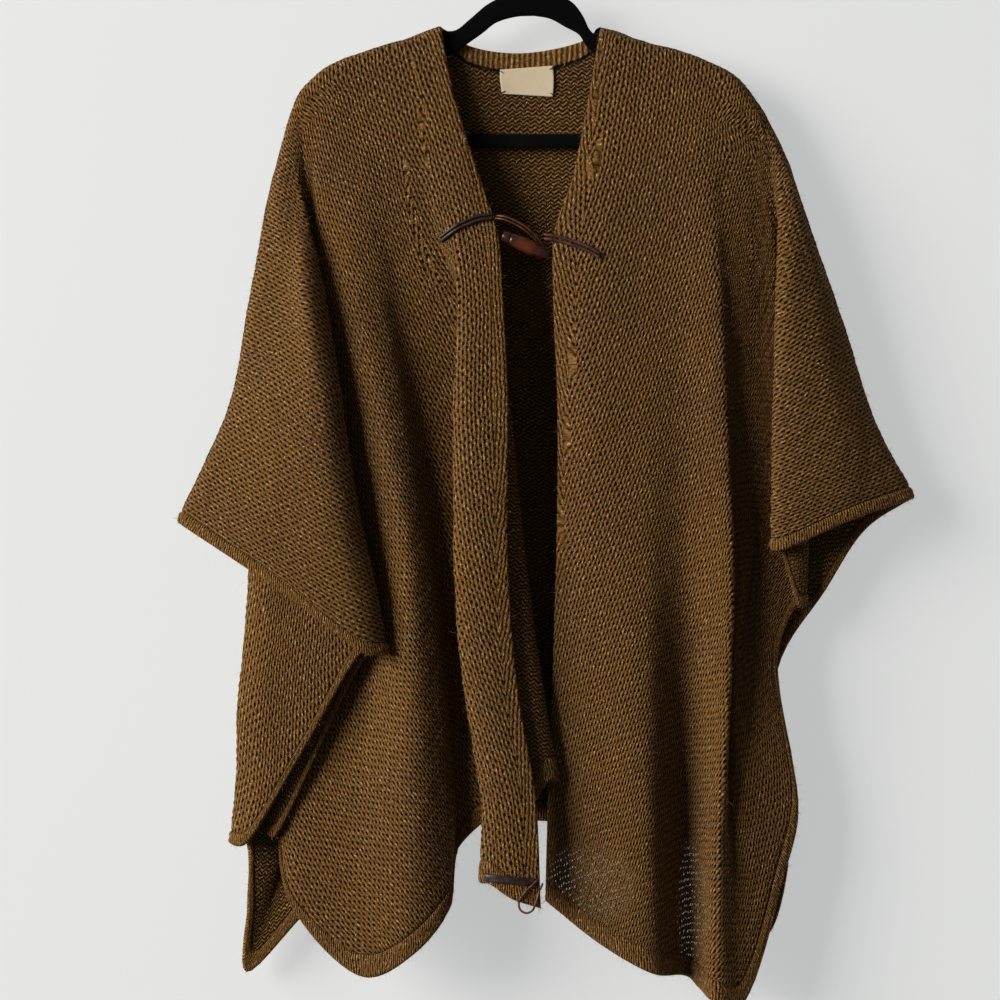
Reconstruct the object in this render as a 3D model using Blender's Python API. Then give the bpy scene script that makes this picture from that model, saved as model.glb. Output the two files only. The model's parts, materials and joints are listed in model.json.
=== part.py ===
"""Knitted open-front poncho hanging on a flocked hanger, in metres, +Z up.

The origin is the inner top of the hanger's hook, where a rail carries it. The front faces -Y.
Each panel of cloth is worked out from a short table with a row for each fold line. The lines fan out
from the shoulder to the hem or to the side edge. A row gives the line's name, which side its turn
bulges to (0 for a soft crest or valley), whether the cloth there steps forward or back, the turn's
radius, where along the line the turn starts and is fully closed, the line's two ends in the flat
cloth, and its route. A route is (across, down, out): across and down in view units of 0.95 mm from
the top left of the front view, out in millimetres towards the front from the hanger's plane.
"""
import math
from collections import namedtuple

import bmesh
import bpy
import numpy as np
from mathutils.bvhtree import BVHTree

UNIT = 0.00095          # one view unit, in metres
MM = 0.001
CENTRE = 534.0          # view units: the hanger's middle
HOOK_TOP = -87.0        # view units: the inner top of the hook
WALL = 0.0045           # the knit's thickness
HEM_WALL = 0.0062       # the turned hem, two layers of knit pressed together
HEM = 0.021             # depth of the turned hem along the bottom
CUFF = 0.012            # depth of the narrow border along the side edges
SEAM = 0.0003           # gap kept between pieces
ROLL = 0.008            # radius of the roll over the shoulder and along the wing
HALF_WIDTH = 0.57       # flat cloth: front edge to side edge
SIDE_LENGTH = 0.63      # flat cloth: shoulder to corner along the side edge
ROLL_ROWS = (0.0, 0.0011, 0.004, 0.008, 0.015)
NEAR_RIDGE = (0.02, 0.06, 0.16)
ROWS = 12
BORDER_ROWS = 3
STEPS = 3
TURN_STEPS = 2
MIDDLE = (534, 500, 0)  # a point between the panels, at the chest

Fold = namedtuple("Fold", "name side step radius closes flat route")

RIDGE_RIGHT = [(441, 28), (415, 40), (387, 47), (360, 56), (331, 68), (316, 79), (304, 91), (296, 106),
               (281, 157), (268, 212), (250, 312), (231, 409), (208, 461), (179, 523)]
RIDGE_LEFT = [(600, 30), (616, 36), (635, 42), (678, 53), (715, 68), (735, 79), (757, 106), (770, 129),
              (786, 163), (799, 204), (824, 276), (847, 342), (873, 424), (906, 486), (912, 499)]

# Wearer's right front, seen at the left: front edge, pleat, valley, crest, corner, wing
RIGHT_FRONT = [
    Fold("front_edge", 0, 0, 0, None, (0.0, 0.0, 0.0, 0.84),
         [(441, 28, 8), (455, 100, 14), (482, 185, 20), (498, 235, 27), (503, 300, 32), (508, 400, 42),
          (508, 560, 50), (517, 681, 54), (535, 792, 60), (540, 900, 63)]),
    Fold("top_layer", 0, 0, 0, None, (0.013, 0.0, 0.026, 0.83),
         [(428, 34, 8), (448, 105, 15), (470, 195, 24), (481, 300, 34), (482, 420, 46), (484, 560, 54),
          (491, 681, 58), (508, 792, 64), (511, 890, 67)]),
    Fold("pleat_left", -1, -1, 7, (0.27, 0.45), (0.027, 0.0, 0.052, 0.821),
         [(413, 41, 8), (436, 110, 15), (454, 190, 24), (460, 290, 31), (456, 420, 37), (457, 560, 44),
          (463, 660, 47), (475, 740, 50), (484, 800, 53), (482, 876, 56)]),
    Fold("pleat_right", 1, -1, 7, (0.27, 0.45), (0.04, 0.0, 0.164, 0.761),
         [(398, 44, 8), (414, 120, 14), (427, 200, 19), (441, 245, 17), (463, 285, 16), (485, 330, 17),
          (501, 370, 20), (509, 415, 22), (517, 500, 27), (531, 620, 31), (543, 700, 34), (556, 777, 38)]),
    Fold("valley", 0, 0, 0, None, (0.06, 0.0, 0.276, 0.721),
         [(378, 50, 8), (384, 120, 14), (385, 200, 18), (400, 300, 16), (422, 420, 10), (444, 560, 10),
          (458, 680, 12), (462, 780, 14), (458, 847, 16)]),
    Fold("crest_side", 0, 0, 0, None, (0.082, 0.0, 0.328, 0.702),
         [(355, 58, 8), (358, 130, 14), (360, 200, 20), (378, 300, 26), (402, 420, 32), (424, 560, 36),
          (438, 700, 40), (445, 830, 42), (448, 906, 44)]),
    Fold("crest", 0, 0, 0, None, (0.1, 0.0, 0.406, 0.682),
         [(335, 66, 8), (336, 130, 14), (338, 200, 18), (357, 300, 28), (382, 420, 36), (406, 560, 44),
          (412, 700, 52), (414, 830, 56), (414, 947, 58)]),
    Fold("corner", 0, 0, 0, None, (0.122, 0.0, 0.57, 0.63),
         [(318, 78, 8), (319, 135, 12), (320, 200, 13), (328, 300, 12), (350, 420, 12), (368, 560, 12),
          (368, 700, 20), (362, 850, 38), (366, 970, 46)]),
    Fold("side", 0, 0, 0, None, (0.137, 0.0, 0.57, 0.465),
         [(306, 89, 8), (311, 140, 10), (314, 200, 7), (314, 300, 2), (320, 420, 0), (325, 560, 1),
          (318, 700, 8), (302, 830, 24), (294, 903, 30)]),
    Fold("wing_inner", -1, 1, 6, (0.12, 0.34), (0.15, 0.0, 0.57, 0.338),
         [(297, 103, 8), (303, 150, 8), (304, 200, 6), (301, 250, 5), (297, 320, 6), (292, 420, 6),
          (287, 560, 8), (280, 700, 13), (271, 834, 18)]),
    Fold("wing_fold", 1, 1, 16, (0.12, 0.36), (0.178, 0.0, 0.57, 0.188),
         [(288, 132, 8), (296, 175, 13), (308, 220, 21), (319, 270, 28), (331, 330, 34), (342, 400, 38),
          (357, 498, 42), (381, 611, 46), (388, 652, 48)]),
    Fold("wing_face", 0, 0, 0, None, (0.22, 0.0, 0.57, 0.083),
         [(277, 172, 8), (283, 210, 16), (288, 260, 24), (290, 330, 31), (285, 420, 40), (283, 500, 46),
          (281, 588, 48)]),
    Fold("wing_ridge", 0, 0, 0, None, (0.27, 0.0, 0.57, 0.0),
         [(266, 222, 8), (250, 312, 8), (231, 409, 8), (208, 461, 8),
          (179, 523, 8)]),
]

# Wearer's left front, seen at the right
LEFT_FRONT = [
    Fold("front_edge", 0, 0, 0, None, (0.0, 0.0, 0.0, 0.84),
         [(600, 30, 8), (588, 100, 14), (572, 180, 20), (554, 235, 25), (553, 300, 24), (557, 400, 22),
          (557, 500, 22), (553, 655, 20), (548, 790, 18), (545, 898, 20)]),
    Fold("first_crest", 0, 0, 0, None, (0.02, 0.0, 0.078, 0.811),
         [(617, 37, 8), (612, 110, 16), (602, 200, 26), (592, 300, 32), (592, 420, 34), (594, 560, 34),
          (596, 700, 36), (598, 820, 40), (602, 940, 44)]),
    Fold("chest", 0, 0, 0, None, (0.04, 0.0, 0.164, 0.78),
         [(637, 42, 8), (640, 120, 16), (642, 200, 24), (640, 300, 28), (642, 420, 32), (644, 560, 36),
          (646, 700, 42), (647, 840, 48), (650, 966, 50)]),
    Fold("low_valley", 0, 0, 0, None, (0.062, 0.0, 0.233, 0.754),
         [(660, 49, 8), (668, 120, 15), (676, 200, 22), (680, 300, 26), (682, 420, 27), (684, 560, 23),
          (684, 700, 12), (684, 840, 5), (688, 976, 7)]),
    Fold("low_crest", 0, 0, 0, None, (0.088, 0.0, 0.345, 0.713),
         [(685, 56, 8), (698, 120, 15), (708, 200, 22), (716, 300, 30), (722, 420, 36), (728, 560, 42),
          (724, 700, 44), (716, 840, 42), (712, 996, 40)]),
    Fold("corner", 0, 0, 0, None, (0.112, 0.0, 0.57, 0.63),
         [(710, 66, 8), (716, 130, 14), (722, 200, 18), (726, 300, 22), (726, 420, 24), (725, 560, 26),
          (722, 700, 30), (724, 840, 32), (737, 1003, 28)]),
    Fold("low_side", 0, 0, 0, None, (0.135, 0.0, 0.57, 0.525),
         [(731, 77, 8), (737, 130, 12), (742, 200, 13), (744, 300, 14), (742, 420, 14), (738, 560, 17),
          (733, 700, 24), (742, 800, 26), (784, 868, 16)]),
    Fold("side", 0, 0, 0, None, (0.152, 0.0, 0.57, 0.45),
         [(745, 91, 8), (751, 140, 10), (756, 220, 9), (757, 300, 9), (755, 420, 10), (748, 560, 13),
          (742, 660, 18), (756, 745, 19), (797, 812, 12)]),
    Fold("side_high", 0, 0, 0, None, (0.162, 0.0, 0.57, 0.315),
         [(752, 99, 8), (761, 145, 9), (769, 220, 7), (775, 300, 6), (775, 420, 6), (768, 520, 8),
          (760, 595, 10), (777, 655, 8)]),
    Fold("wing_inner", 1, 1, 6, (0.12, 0.38), (0.175, 0.0, 0.57, 0.247),
         [(760, 111, 8), (768, 150, 8), (775, 190, 7), (784, 230, 5), (793, 290, 6), (802, 420, 9),
          (806, 520, 11), (803, 606, 14)]),
    Fold("wing_fold", -1, 1, 7, (0.12, 0.38), (0.2, 0.0, 0.57, 0.18),
         [(771, 131, 8), (777, 165, 11), (779, 200, 17), (777, 250, 23), (774, 330, 27), (773, 400, 28),
          (771, 470, 29), (770, 550, 30)]),
    Fold("wing_face", 0, 0, 0, None, (0.235, 0.0, 0.57, 0.083),
         [(785, 162, 8), (793, 200, 17), (801, 245, 23), (813, 310, 28), (825, 380, 31), (838, 450, 32),
          (851, 519, 31)]),
    Fold("wing_ridge", 0, 0, 0, None, (0.28, 0.0, 0.57, 0.0),
         [(800, 206, 8), (824, 276, 8), (847, 342, 8),
          (873, 424, 8), (906, 486, 8), (912, 499, 8)]),
]

# Back, from the wearer's right wing to the left wing
BACK = [
    Fold("right_ridge", 0, 0, 0, None, (-0.27, 0.0, -0.57, 0.0),
         [(266, 222, -8), (250, 312, -8), (231, 409, -8), (208, 461, -8),
          (179, 523, -8)]),
    Fold("right_wing", 0, 0, 0, None, (-0.22, 0.0, -0.57, 0.083),
         [(277, 172, -8), (278, 195, -3), (280, 220, 3), (281, 250, 9), (280, 330, 16), (272, 420, 23),
          (268, 500, 30), (266, 576, 31)]),
    Fold("right_wing_fold", 1, -1, 6, (0.12, 0.36), (-0.178, 0.0, -0.57, 0.188),
         [(288, 132, -8), (286, 160, -7), (288, 190, 1), (294, 220, 9), (304, 270, 21), (316, 330, 31),
          (327, 400, 36), (342, 498, 41), (364, 611, 46), (371, 650, 47)]),
    Fold("right_sub_panel", 0, 0, 0, None, (-0.165, 0.0, -0.57, 0.3),
         [(294, 112, -8), (291, 150, -9), (289, 190, -7), (289, 220, -3), (289, 260, 2), (292, 330, 13),
          (294, 450, 22), (296, 560, 28), (300, 680, 33), (302, 755, 36)]),
    Fold("right_outline", -1, -1, 13, (0.10, 0.34), (-0.152, 0.0, -0.57, 0.39),
         [(300, 97, -8), (296, 140, -10), (289, 185, -13), (283, 220, -12), (276, 270, -9),
          (268, 330, -4), (260, 400, 0), (255, 460, 4), (252, 530, 8), (250, 600, 10), (241, 700, 12),
          (239, 780, 14), (233, 842, 16)]),
    Fold("right_tail_side", 0, 0, 0, None, (-0.14, 0.0, -0.57, 0.51),
         [(309, 85, -8), (306, 140, -12), (301, 190, -17), (297, 250, -20), (292, 400, -22),
          (288, 550, -22), (284, 700, -20), (280, 810, -14), (276, 855, -10), (247, 906, -4)]),
    Fold("right_corner", 0, 0, 0, None, (-0.122, 0.0, -0.57, 0.63),
         [(322, 74, -8), (320, 150, -12), (316, 250, -18), (311, 400, -22), (306, 550, -24),
          (299, 700, -24), (287, 850, -18), (245, 974, -12)]),
    Fold("right_hem", 0, 0, 0, None, (-0.1, 0.0, -0.415, 0.679),
         [(343, 63, -8), (342, 150, -12), (342, 300, -18), (340, 450, -22), (336, 600, -22),
          (328, 750, -18), (316, 904, -12)]),
    Fold("right_back", 0, 0, 0, None, (-0.08, 0.0, -0.242, 0.715),
         [(385, 48, -8), (392, 150, -12), (398, 300, -15), (400, 450, -16), (400, 600, -16),
          (398, 750, -14), (396, 850, -12)]),
    Fold("right_neck", 0, 0, 0, None, (-0.03, 0.0, -0.086, 0.76),
         [(441, 28, -8), (452, 120, -10), (458, 250, -15), (460, 400, -20), (460, 550, -22),
          (460, 700, -22), (460, 828, -20)]),
    Fold("neck_right", 0, 0, 0, None, (-0.02, 0.0, -0.052, 0.772),
         [(470, 45, -8), (480, 120, -10), (486, 250, -16), (488, 400, -20), (489, 550, -20),
          (490, 700, -18), (490, 824, -16)]),
    Fold("centre", 0, 0, 0, None, (0.0, 0.0, 0.0, 0.78),
         [(521, 52, -9), (523, 120, -12), (524, 250, -18), (525, 400, -22), (526, 550, -22),
          (527, 700, -18), (528, 822, -14)]),
    Fold("neck_left", 0, 0, 0, None, (0.02, 0.0, 0.052, 0.772),
         [(580, 41, -8), (572, 120, -10), (568, 250, -16), (568, 400, -20), (570, 550, -22),
          (574, 700, -22), (577, 826, -20)]),
    Fold("left_neck", 0, 0, 0, None, (0.03, 0.0, 0.086, 0.76),
         [(600, 30, -8), (600, 120, -10), (602, 250, -14), (606, 400, -18), (612, 550, -22),
          (618, 700, -24), (622, 832, -22)]),
    Fold("left_back", 0, 0, 0, None, (0.08, 0.0, 0.242, 0.715),
         [(660, 49, -8), (662, 150, -12), (662, 300, -16), (662, 450, -18), (662, 600, -18),
          (665, 750, -16), (670, 858, -12)]),
    Fold("left_hem", 0, 0, 0, None, (0.12, 0.0, 0.415, 0.679),
         [(705, 64, -8), (708, 150, -12), (708, 300, -18), (706, 450, -22), (704, 600, -22),
          (707, 750, -18), (722, 906, -12)]),
    Fold("left_corner", 0, 0, 0, None, (0.14, 0.0, 0.57, 0.63),
         [(728, 75, -8), (733, 150, -12), (736, 300, -17), (736, 450, -20), (734, 600, -20),
          (734, 780, -16), (764, 940, -10)]),
    Fold("left_side_low", 0, 0, 0, None, (0.152, 0.0, 0.57, 0.51),
         [(743, 88, -8), (748, 150, -11), (753, 300, -15), (754, 450, -17), (750, 600, -17),
          (752, 760, -14), (789, 868, -8)]),
    Fold("left_side", 0, 0, 0, None, (0.168, 0.0, 0.57, 0.338),
         [(755, 104, -8), (761, 150, -10), (769, 260, -13), (772, 380, -15), (768, 500, -15),
          (757, 600, -13), (778, 672, -8)]),
    Fold("left_wing_low", 0, 0, 0, None, (0.195, 0.0, 0.57, 0.21),
         [(769, 128, -8), (775, 165, -9), (790, 240, -11), (808, 330, -12), (822, 420, -10),
          (828, 500, -6), (826, 590, -2)]),
    Fold("left_wing", 0, 0, 0, None, (0.235, 0.0, 0.57, 0.09),
         [(785, 162, -8), (798, 220, -9), (816, 290, -9), (836, 370, -8), (856, 450, -5),
          (866, 529, 0)]),
    Fold("left_ridge", 0, 0, 0, None, (0.28, 0.0, 0.57, 0.0),
         [(800, 206, -8), (824, 276, -8), (847, 342, -8),
          (873, 424, -8), (906, 486, -8), (912, 499, -8)]),
]

Band = namedtuple("Band", "outer inner")

# Hanger, half by half from the top of the arch: (across, down) on its outer and its inner edge.
# The arms' outer edge runs just inside the rolled shoulder of the cloth.
HANGER_RIGHT = [
    Band((534, -8), (534, 16)), Band((508, -5), (516, 17)), Band((488, 4), (496, 23)),
    Band((470, 19), (483, 33)), Band((456, 30), (466, 45)), Band((442.5, 32), (448, 57)),
    Band((416.5, 44.5), (428, 67)), Band((388, 51.5), (396, 76)), Band((361.5, 60), (368, 84)),
    Band((333, 72), (342, 96)), Band((319.5, 82.5), (329, 104)), Band((308.5, 94), (320, 112)),
    Band((301, 108), (315, 119)), Band((300.5, 123), (314, 125)), Band((304, 138), (319, 131)),
    Band((316, 147), (334, 134)), Band((360, 148), (360, 134)), Band((534, 148), (534, 134))]
HANGER_LEFT = [
    Band((534, -8), (534, 16)), Band((558, -5), (550, 19)), Band((573, 3), (565, 27)),
    Band((583, 16), (579, 35)), Band((590, 30), (586, 46)), Band((600, 38), (597, 57)),
    Band((614.5, 40.5), (611, 63)),
    Band((634, 46.5), (628, 70)), Band((676.5, 57.5), (668, 82)), Band((712.5, 72.5), (703, 96)),
    Band((731.5, 83), (722, 106)), Band((752.5, 108.5), (738, 117)), Band((758, 124), (742, 122)),
    Band((756, 139), (738, 130)), Band((744, 147), (725, 134)), Band((700, 148), (700, 134)),
    Band((534, 148), (534, 134))]
HANGER_THICK = 0.006
HOOK_WIRE = 0.0017          # radius of the hook's wire
HOOK_INSIDE = 0.017         # inner radius of the hook's bend
HOOK_ANGLES = (-50, -25, 0, 30, 60, 90, 120, 150, 180, 195)

# Label at the back of the neck: its sides from top to bottom, left and right, in view units
LABEL_SIDES = [((500, 69), (553, 65)), ((500, 78), (554, 75)),
               ((501, 86), (554, 86)), ((502, 93), (553, 96))]
LABEL_THICK = 0.0008

# Horn toggle: its two ends (across, down, out), and rows of (share of its length, radius in mm)
TOGGLE_ENDS = ((502, 237.5, 26), (549, 258, 25))
TOGGLE_SECTIONS = [(0, 3.4), (0.02, 4.7), (0.08, 5.5), (0.22, 6.3), (0.42, 7.0), (0.62, 7.0), (0.80, 6.0),
                   (0.92, 5.0), (0.98, 3.8), (1, 2.5)]

# Leather laces: routes as (across, down, out). Where a panel lies behind, they rest on it.
LACE_RADIUS = 0.0015
LACE_PITCH = 4.2            # view units between a lace's two strands
LACE_RIGHT = [(494, 219, 30), (487, 219.5, 30), (478, 221, 32), (468, 225, 32.5), (459, 229, 32.5),
              (449, 235.5, 31), (440, 242, 28.5)]
LACE_LEFT = [(543, 239, 29), (553, 240.5, 31), (560, 242, 32), (567, 244, 33), (577, 247.5, 34),
             (587, 251.5, 35), (595, 256, 35.8), (600, 259.5, 36)]
LOOP_RADIUS = 0.001
LOOP_PITCH = (1.8, -2.6)    # view units, across and down, from the loop's lower side to its upper side
LOOP_SHARES = (0.80, 0.68)  # where along the toggle the loop's two sides meet it
TOGGLE_LOOP = [(495.4, 219.6, 29.3), (504, 221, 32), (514, 225, 33), (523, 230, 32.5), (531, 236, 30)]
HEM_LACE = [(485, 869), (495, 870), (505, 871), (515, 872), (525, 873), (534, 873)]
HEM_LACE_WIDTH = 8.0        # view units
HEM_LACE_THICK = 0.0014
HEM_LOOP = [(537, 871, 70), (531, 877, 73.5), (523, 885, 74.5), (518.5, 893, 74.5), (520, 900, 74),
            (526, 903, 74), (532, 900, 74), (535.5, 892, 73.5), (539, 881, 72), (542, 874, 70)]
REST_STEP = 0.00005         # step by which a point is moved forward until it is clear


def place(points):
    """Turn (across, down, out) points into metres: x to the right, y away from the viewer, z up."""
    points = np.asarray(points, float)
    return np.stack([(points[..., 0] - CENTRE) * UNIT, -points[..., 2] * MM,
                     -(points[..., 1] - HOOK_TOP) * UNIT], axis=-1)


def through(points, stops):
    """Smooth curves through control points along axis 0, read at stops counted in control points.

    Each stretch is a cubic with the tangents of a centripetal Catmull-Rom curve.
    """
    gaps = np.diff(points, axis=0)
    knots = np.sqrt(np.maximum(np.linalg.norm(gaps, axis=-1, keepdims=True), 1e-6))
    slopes = gaps / knots
    tangents = np.empty_like(points)
    tangents[1:-1] = (slopes[:-1] * knots[1:] + slopes[1:] * knots[:-1]) / (knots[1:] + knots[:-1])
    tangents[0] = slopes[0]
    tangents[-1] = slopes[-1]
    start = np.minimum(stops.astype(int), len(points) - 2)
    shape = (-1,) + (1,) * (points.ndim - 1)
    f = (stops - start).reshape(shape)
    ends = points[start], points[start + 1]
    pulls = tangents[start] * knots[start], tangents[start + 1] * knots[start]
    return ((2 * f ** 3 - 3 * f ** 2 + 1) * ends[0] + (f ** 3 - 2 * f ** 2 + f) * pulls[0]
            + (3 * f ** 2 - 2 * f ** 3) * ends[1] + (f ** 3 - f ** 2) * pulls[1])


def lengths(points):
    """Distance along a polyline at each of its points."""
    return np.concatenate([[0.0], np.cumsum(np.linalg.norm(np.diff(points, axis=0), axis=1))])


def along(route, shares):
    """Points at the given shares of a smooth route's length."""
    points = place(route)
    fine = through(points, np.linspace(0, len(points) - 1, 24 * len(points)))
    run = lengths(fine)
    return np.stack([np.interp(np.asarray(shares) * run[-1], run, fine[:, k]) for k in range(3)], axis=1)


def route_length(route):
    """Length of a smooth route in metres."""
    points = place(route)
    return lengths(through(points, np.linspace(0, len(points) - 1, 24 * len(points))))[-1]


def ease(low, high, value):
    """Smooth step from 0 at low to 1 at high."""
    share = np.clip((value - low) / (high - low), 0.0, 1.0)
    return share * share * (3 - 2 * share)


def border(fold):
    """Width of the border at a line's end: the hem at the bottom, the cuff on the side edge."""
    at_side = abs(fold.flat[2]) >= HALF_WIDTH and fold.flat[3] < SIDE_LENGTH
    return CUFF if at_side else HEM


def control_lines(folds, shares):
    """Control lines of a panel. A closed turn has three: where it starts, its middle, where it ends."""
    middle = [along(fold.route, share) for fold, share in zip(folds, shares)]
    lines = []
    owners = []
    for i, (fold, share) in enumerate(zip(folds, shares)):
        line = middle[i]
        if not fold.side:
            lines.append(line)
            owners.append(float(i))
            continue
        closed = ease(fold.closes[0], fold.closes[1], np.asarray(share))[:, None]
        radius = fold.radius * MM
        back = np.array([-fold.side * radius, 0.0, 0.0])
        depth = np.array([0.0, fold.step * radius, 0.0])
        before = closed * (line + back + depth) + (1 - closed) * (line + 0.25 * (middle[i - 1] - line))
        after = closed * (line + back - depth) + (1 - closed) * (line + 0.25 * (middle[i + 1] - line))
        lines += [before, line, after]
        owners += [i - 0.1, float(i), i + 0.1]
    return np.array(lines), np.array(owners)


def columns_at(folds, owners, steps):
    """Where a panel's columns fall between its control lines: more at each turn and beside the ridge."""
    last = len(owners) - 1
    stops = [float(last)]
    for i in range(last):
        count = TURN_STEPS if owners[i + 1] - owners[i] < 0.5 else steps
        stops += [i + k / count for k in range(count)]
    if folds[0].name.endswith("ridge"):
        stops += list(NEAR_RIDGE)
    if folds[-1].name.endswith("ridge"):
        stops += [last - share for share in NEAR_RIDGE]
    return np.array(sorted(set(stops)))


def ridge_roll(points, ridges, facing):
    """Roll a panel over the shoulder and wing ridge: its depth follows a quarter round of radius ROLL.

    The first row, and a first or last column on the ridge, are set on the ridge line itself.
    """
    near = np.full(points.shape[:2], np.inf)
    snapped = points.copy()
    for ridge in ridges:
        line = along([(across, down, 0) for across, down in ridge], np.linspace(0, 1, 400))
        apart = np.linalg.norm(points[:, :, None, ::2] - line[None, None, :, ::2], axis=-1)
        best = apart.min(-1)
        closer = best < near
        near = np.where(closer, best, near)
        snapped = np.where(closer[..., None], line[apart.argmin(-1)], snapped)
    on_ridge = np.zeros(points.shape[:2], bool)
    on_ridge[:, 0] = near[:, 0] < ROLL / 2
    on_ridge[-1] = near[-1].max() < ROLL / 2
    on_ridge[0] |= near[0].max() < ROLL / 2
    share = np.sqrt(np.clip(1 - (1 - np.minimum(near / ROLL, 1)) ** 2, 0, 1))
    depth = np.where(on_ridge, 0.0, points[..., 1] * share)
    points = np.where(on_ridge[..., None], snapped, points)
    points[..., 1] = depth - facing * SEAM / 2
    return points, on_ridge


def open_seam(grid, split):
    """Set the border's first row one seam gap from the panel's last row, square to the seam."""
    edge = grid[:, split - 1]
    run = np.gradient(edge, axis=0)
    run /= np.linalg.norm(run, axis=-1, keepdims=True)
    across = grid[:, split + 1] - grid[:, split - 2]
    across -= (across * run).sum(-1, keepdims=True) * run
    across /= np.linalg.norm(across, axis=-1, keepdims=True)
    grid[:, split] = edge + SEAM * across
    return grid


def panel_grid(folds, ridges, facing, outer, steps, rows):
    """Middle surface of a panel and its border: a grid of points, columns across and rows down.

    Returns the grid, the normals and the number of rows above the border.
    """
    shares = []
    for fold in folds:
        length = route_length(fold.route)
        end = 1 - border(fold) / length
        top = np.array(ROLL_ROWS) / length
        shares.append(np.concatenate([top, np.linspace(top[-1], end, rows + 1)[1:],
                                      np.linspace(end + SEAM / length, 1, BORDER_ROWS)]))
    lines, owners = control_lines(folds, shares)
    grid = through(lines, columns_at(folds, owners, steps))
    split = len(ROLL_ROWS) + rows
    grid, on_ridge = ridge_roll(grid, ridges, facing)
    grid = open_seam(grid, split)
    grid[on_ridge, 1] = -facing * SEAM / 2
    return grid, normals(grid, on_ridge, split, outer), split


def normals(grid, on_ridge, split, outer):
    """Unit normals of a grid; outer says whether they point out of the garment (1) or into it (-1).

    Along the ridge they lie in the hanger's plane, so two panels meet flat. The rows on the two
    sides of the border's seam share theirs, so the gap stays even.
    """
    along_row = np.gradient(grid, axis=0)
    along_column = np.gradient(grid, axis=1)
    normal = np.cross(along_row, along_column)
    seam = normal[:, split - 1] + normal[:, split]
    normal[:, split - 1] = seam
    normal[:, split] = seam
    tangent = along_column.copy()
    tangent[:, 0] = along_row[:, 0]
    square = np.stack([-tangent[..., 2], np.zeros(grid.shape[:2]), tangent[..., 0]], axis=-1)
    from_middle = grid - place(MIDDLE)
    facing = np.sign((square * from_middle).sum(-1, keepdims=True))
    normal = np.where(on_ridge[..., None], square * facing * outer, normal)
    return normal / np.maximum(np.linalg.norm(normal, axis=-1, keepdims=True), 1e-12)


def wall(name, grid, normal, thickness, material):
    """Closed wall round a grid: the middle surface moved out and in by half the thickness of each row.

    The rim's faces are split the same way on both sides of a seam, so that they stay parallel.
    """
    columns, rows = grid.shape[:2]
    half = normal * np.broadcast_to(np.asarray(thickness, float) / 2, rows)[None, :, None]
    outer = (grid + half).reshape(-1, 3)
    inner = (grid - half).reshape(-1, 3)
    index = np.arange(columns * rows).reshape(columns, rows)
    cells = np.stack([index[:-1, :-1], index[1:, :-1], index[1:, 1:], index[:-1, 1:]], axis=-1)
    rim = np.concatenate([index[:, 0], index[-1, 1:], index[-2::-1, -1], index[0, -2:0:-1]])
    low = np.minimum(rim, np.roll(rim, -1))
    high = np.maximum(rim, np.roll(rim, -1))
    forward = (rim < np.roll(rim, -1))[:, None]
    count = len(outer)
    first = np.stack([low, low + count, high + count], axis=-1)
    second = np.stack([low, high + count, high], axis=-1)
    sides = np.concatenate([np.where(forward, cut, cut[:, ::-1]) for cut in (first, second)])
    cells = cells.reshape(-1, 4)
    faces = cells.tolist() + (cells[:, ::-1] + count).tolist() + sides.tolist()
    return add_mesh(name, np.concatenate([outer, inner]), faces, material)


def add_mesh(name, points, faces, material):
    """Add a mesh object, turned right side out if its faces point inwards."""
    mesh = bpy.data.meshes.new(name)
    mesh.from_pydata(points.tolist(), [], faces)
    shape = bmesh.new()
    shape.from_mesh(mesh)
    if shape.calc_volume(signed=True) < 0:
        bmesh.ops.reverse_faces(shape, faces=shape.faces)
        shape.to_mesh(mesh)
    shape.free()
    mesh.materials.append(material)
    mesh.shade_smooth()
    piece = bpy.data.objects.new(name, mesh)
    bpy.context.scene.collection.objects.link(piece)
    return piece


def add_hanger(material):
    """Flat hanger cut as one closed band: arch, arms and crossbar round an open triangle."""
    halves = []
    for side in ("outer", "inner"):
        right = [getattr(band, side) + (0,) for band in HANGER_RIGHT]
        left = [getattr(band, side) + (0,) for band in HANGER_LEFT]
        runs = [through(place(half), np.linspace(0, len(half) - 1, 2 * len(half) - 1))
                for half in (right, left)]
        halves.append(np.concatenate([runs[0], runs[1][-2:0:-1]]))
    outer, inner = halves
    count = len(outer)
    depth = np.array([0.0, HANGER_THICK / 2, 0.0])
    points = np.concatenate([outer - depth, inner - depth, inner + depth, outer + depth])
    here = np.arange(count)
    after = np.roll(here, -1)
    faces = []
    for ring in range(4):
        following = (ring + 1) % 4
        faces += np.stack([here + ring * count, after + ring * count, after + following * count,
                           here + following * count], axis=-1).tolist()
    add_mesh("hanger", points, faces, material)


def add_hook(material):
    """Wire hook: a straight stem that swings out into a round bend over the origin."""
    foot = place(HANGER_RIGHT[0].outer + (0,))[2] + SEAM
    radius = HOOK_INSIDE + HOOK_WIRE
    bend = [(radius * math.cos(math.radians(angle)), 0, radius * math.sin(math.radians(angle)) - HOOK_INSIDE)
            for angle in HOOK_ANGLES]
    route = [(0, 0, foot), (0, 0, foot + 0.012), (0.001, 0, bend[0][2] - 0.018),
             (0.005, 0, bend[0][2] - 0.008)] + bend
    add_cord("hook", np.array(route), HOOK_WIRE, material)


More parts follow.
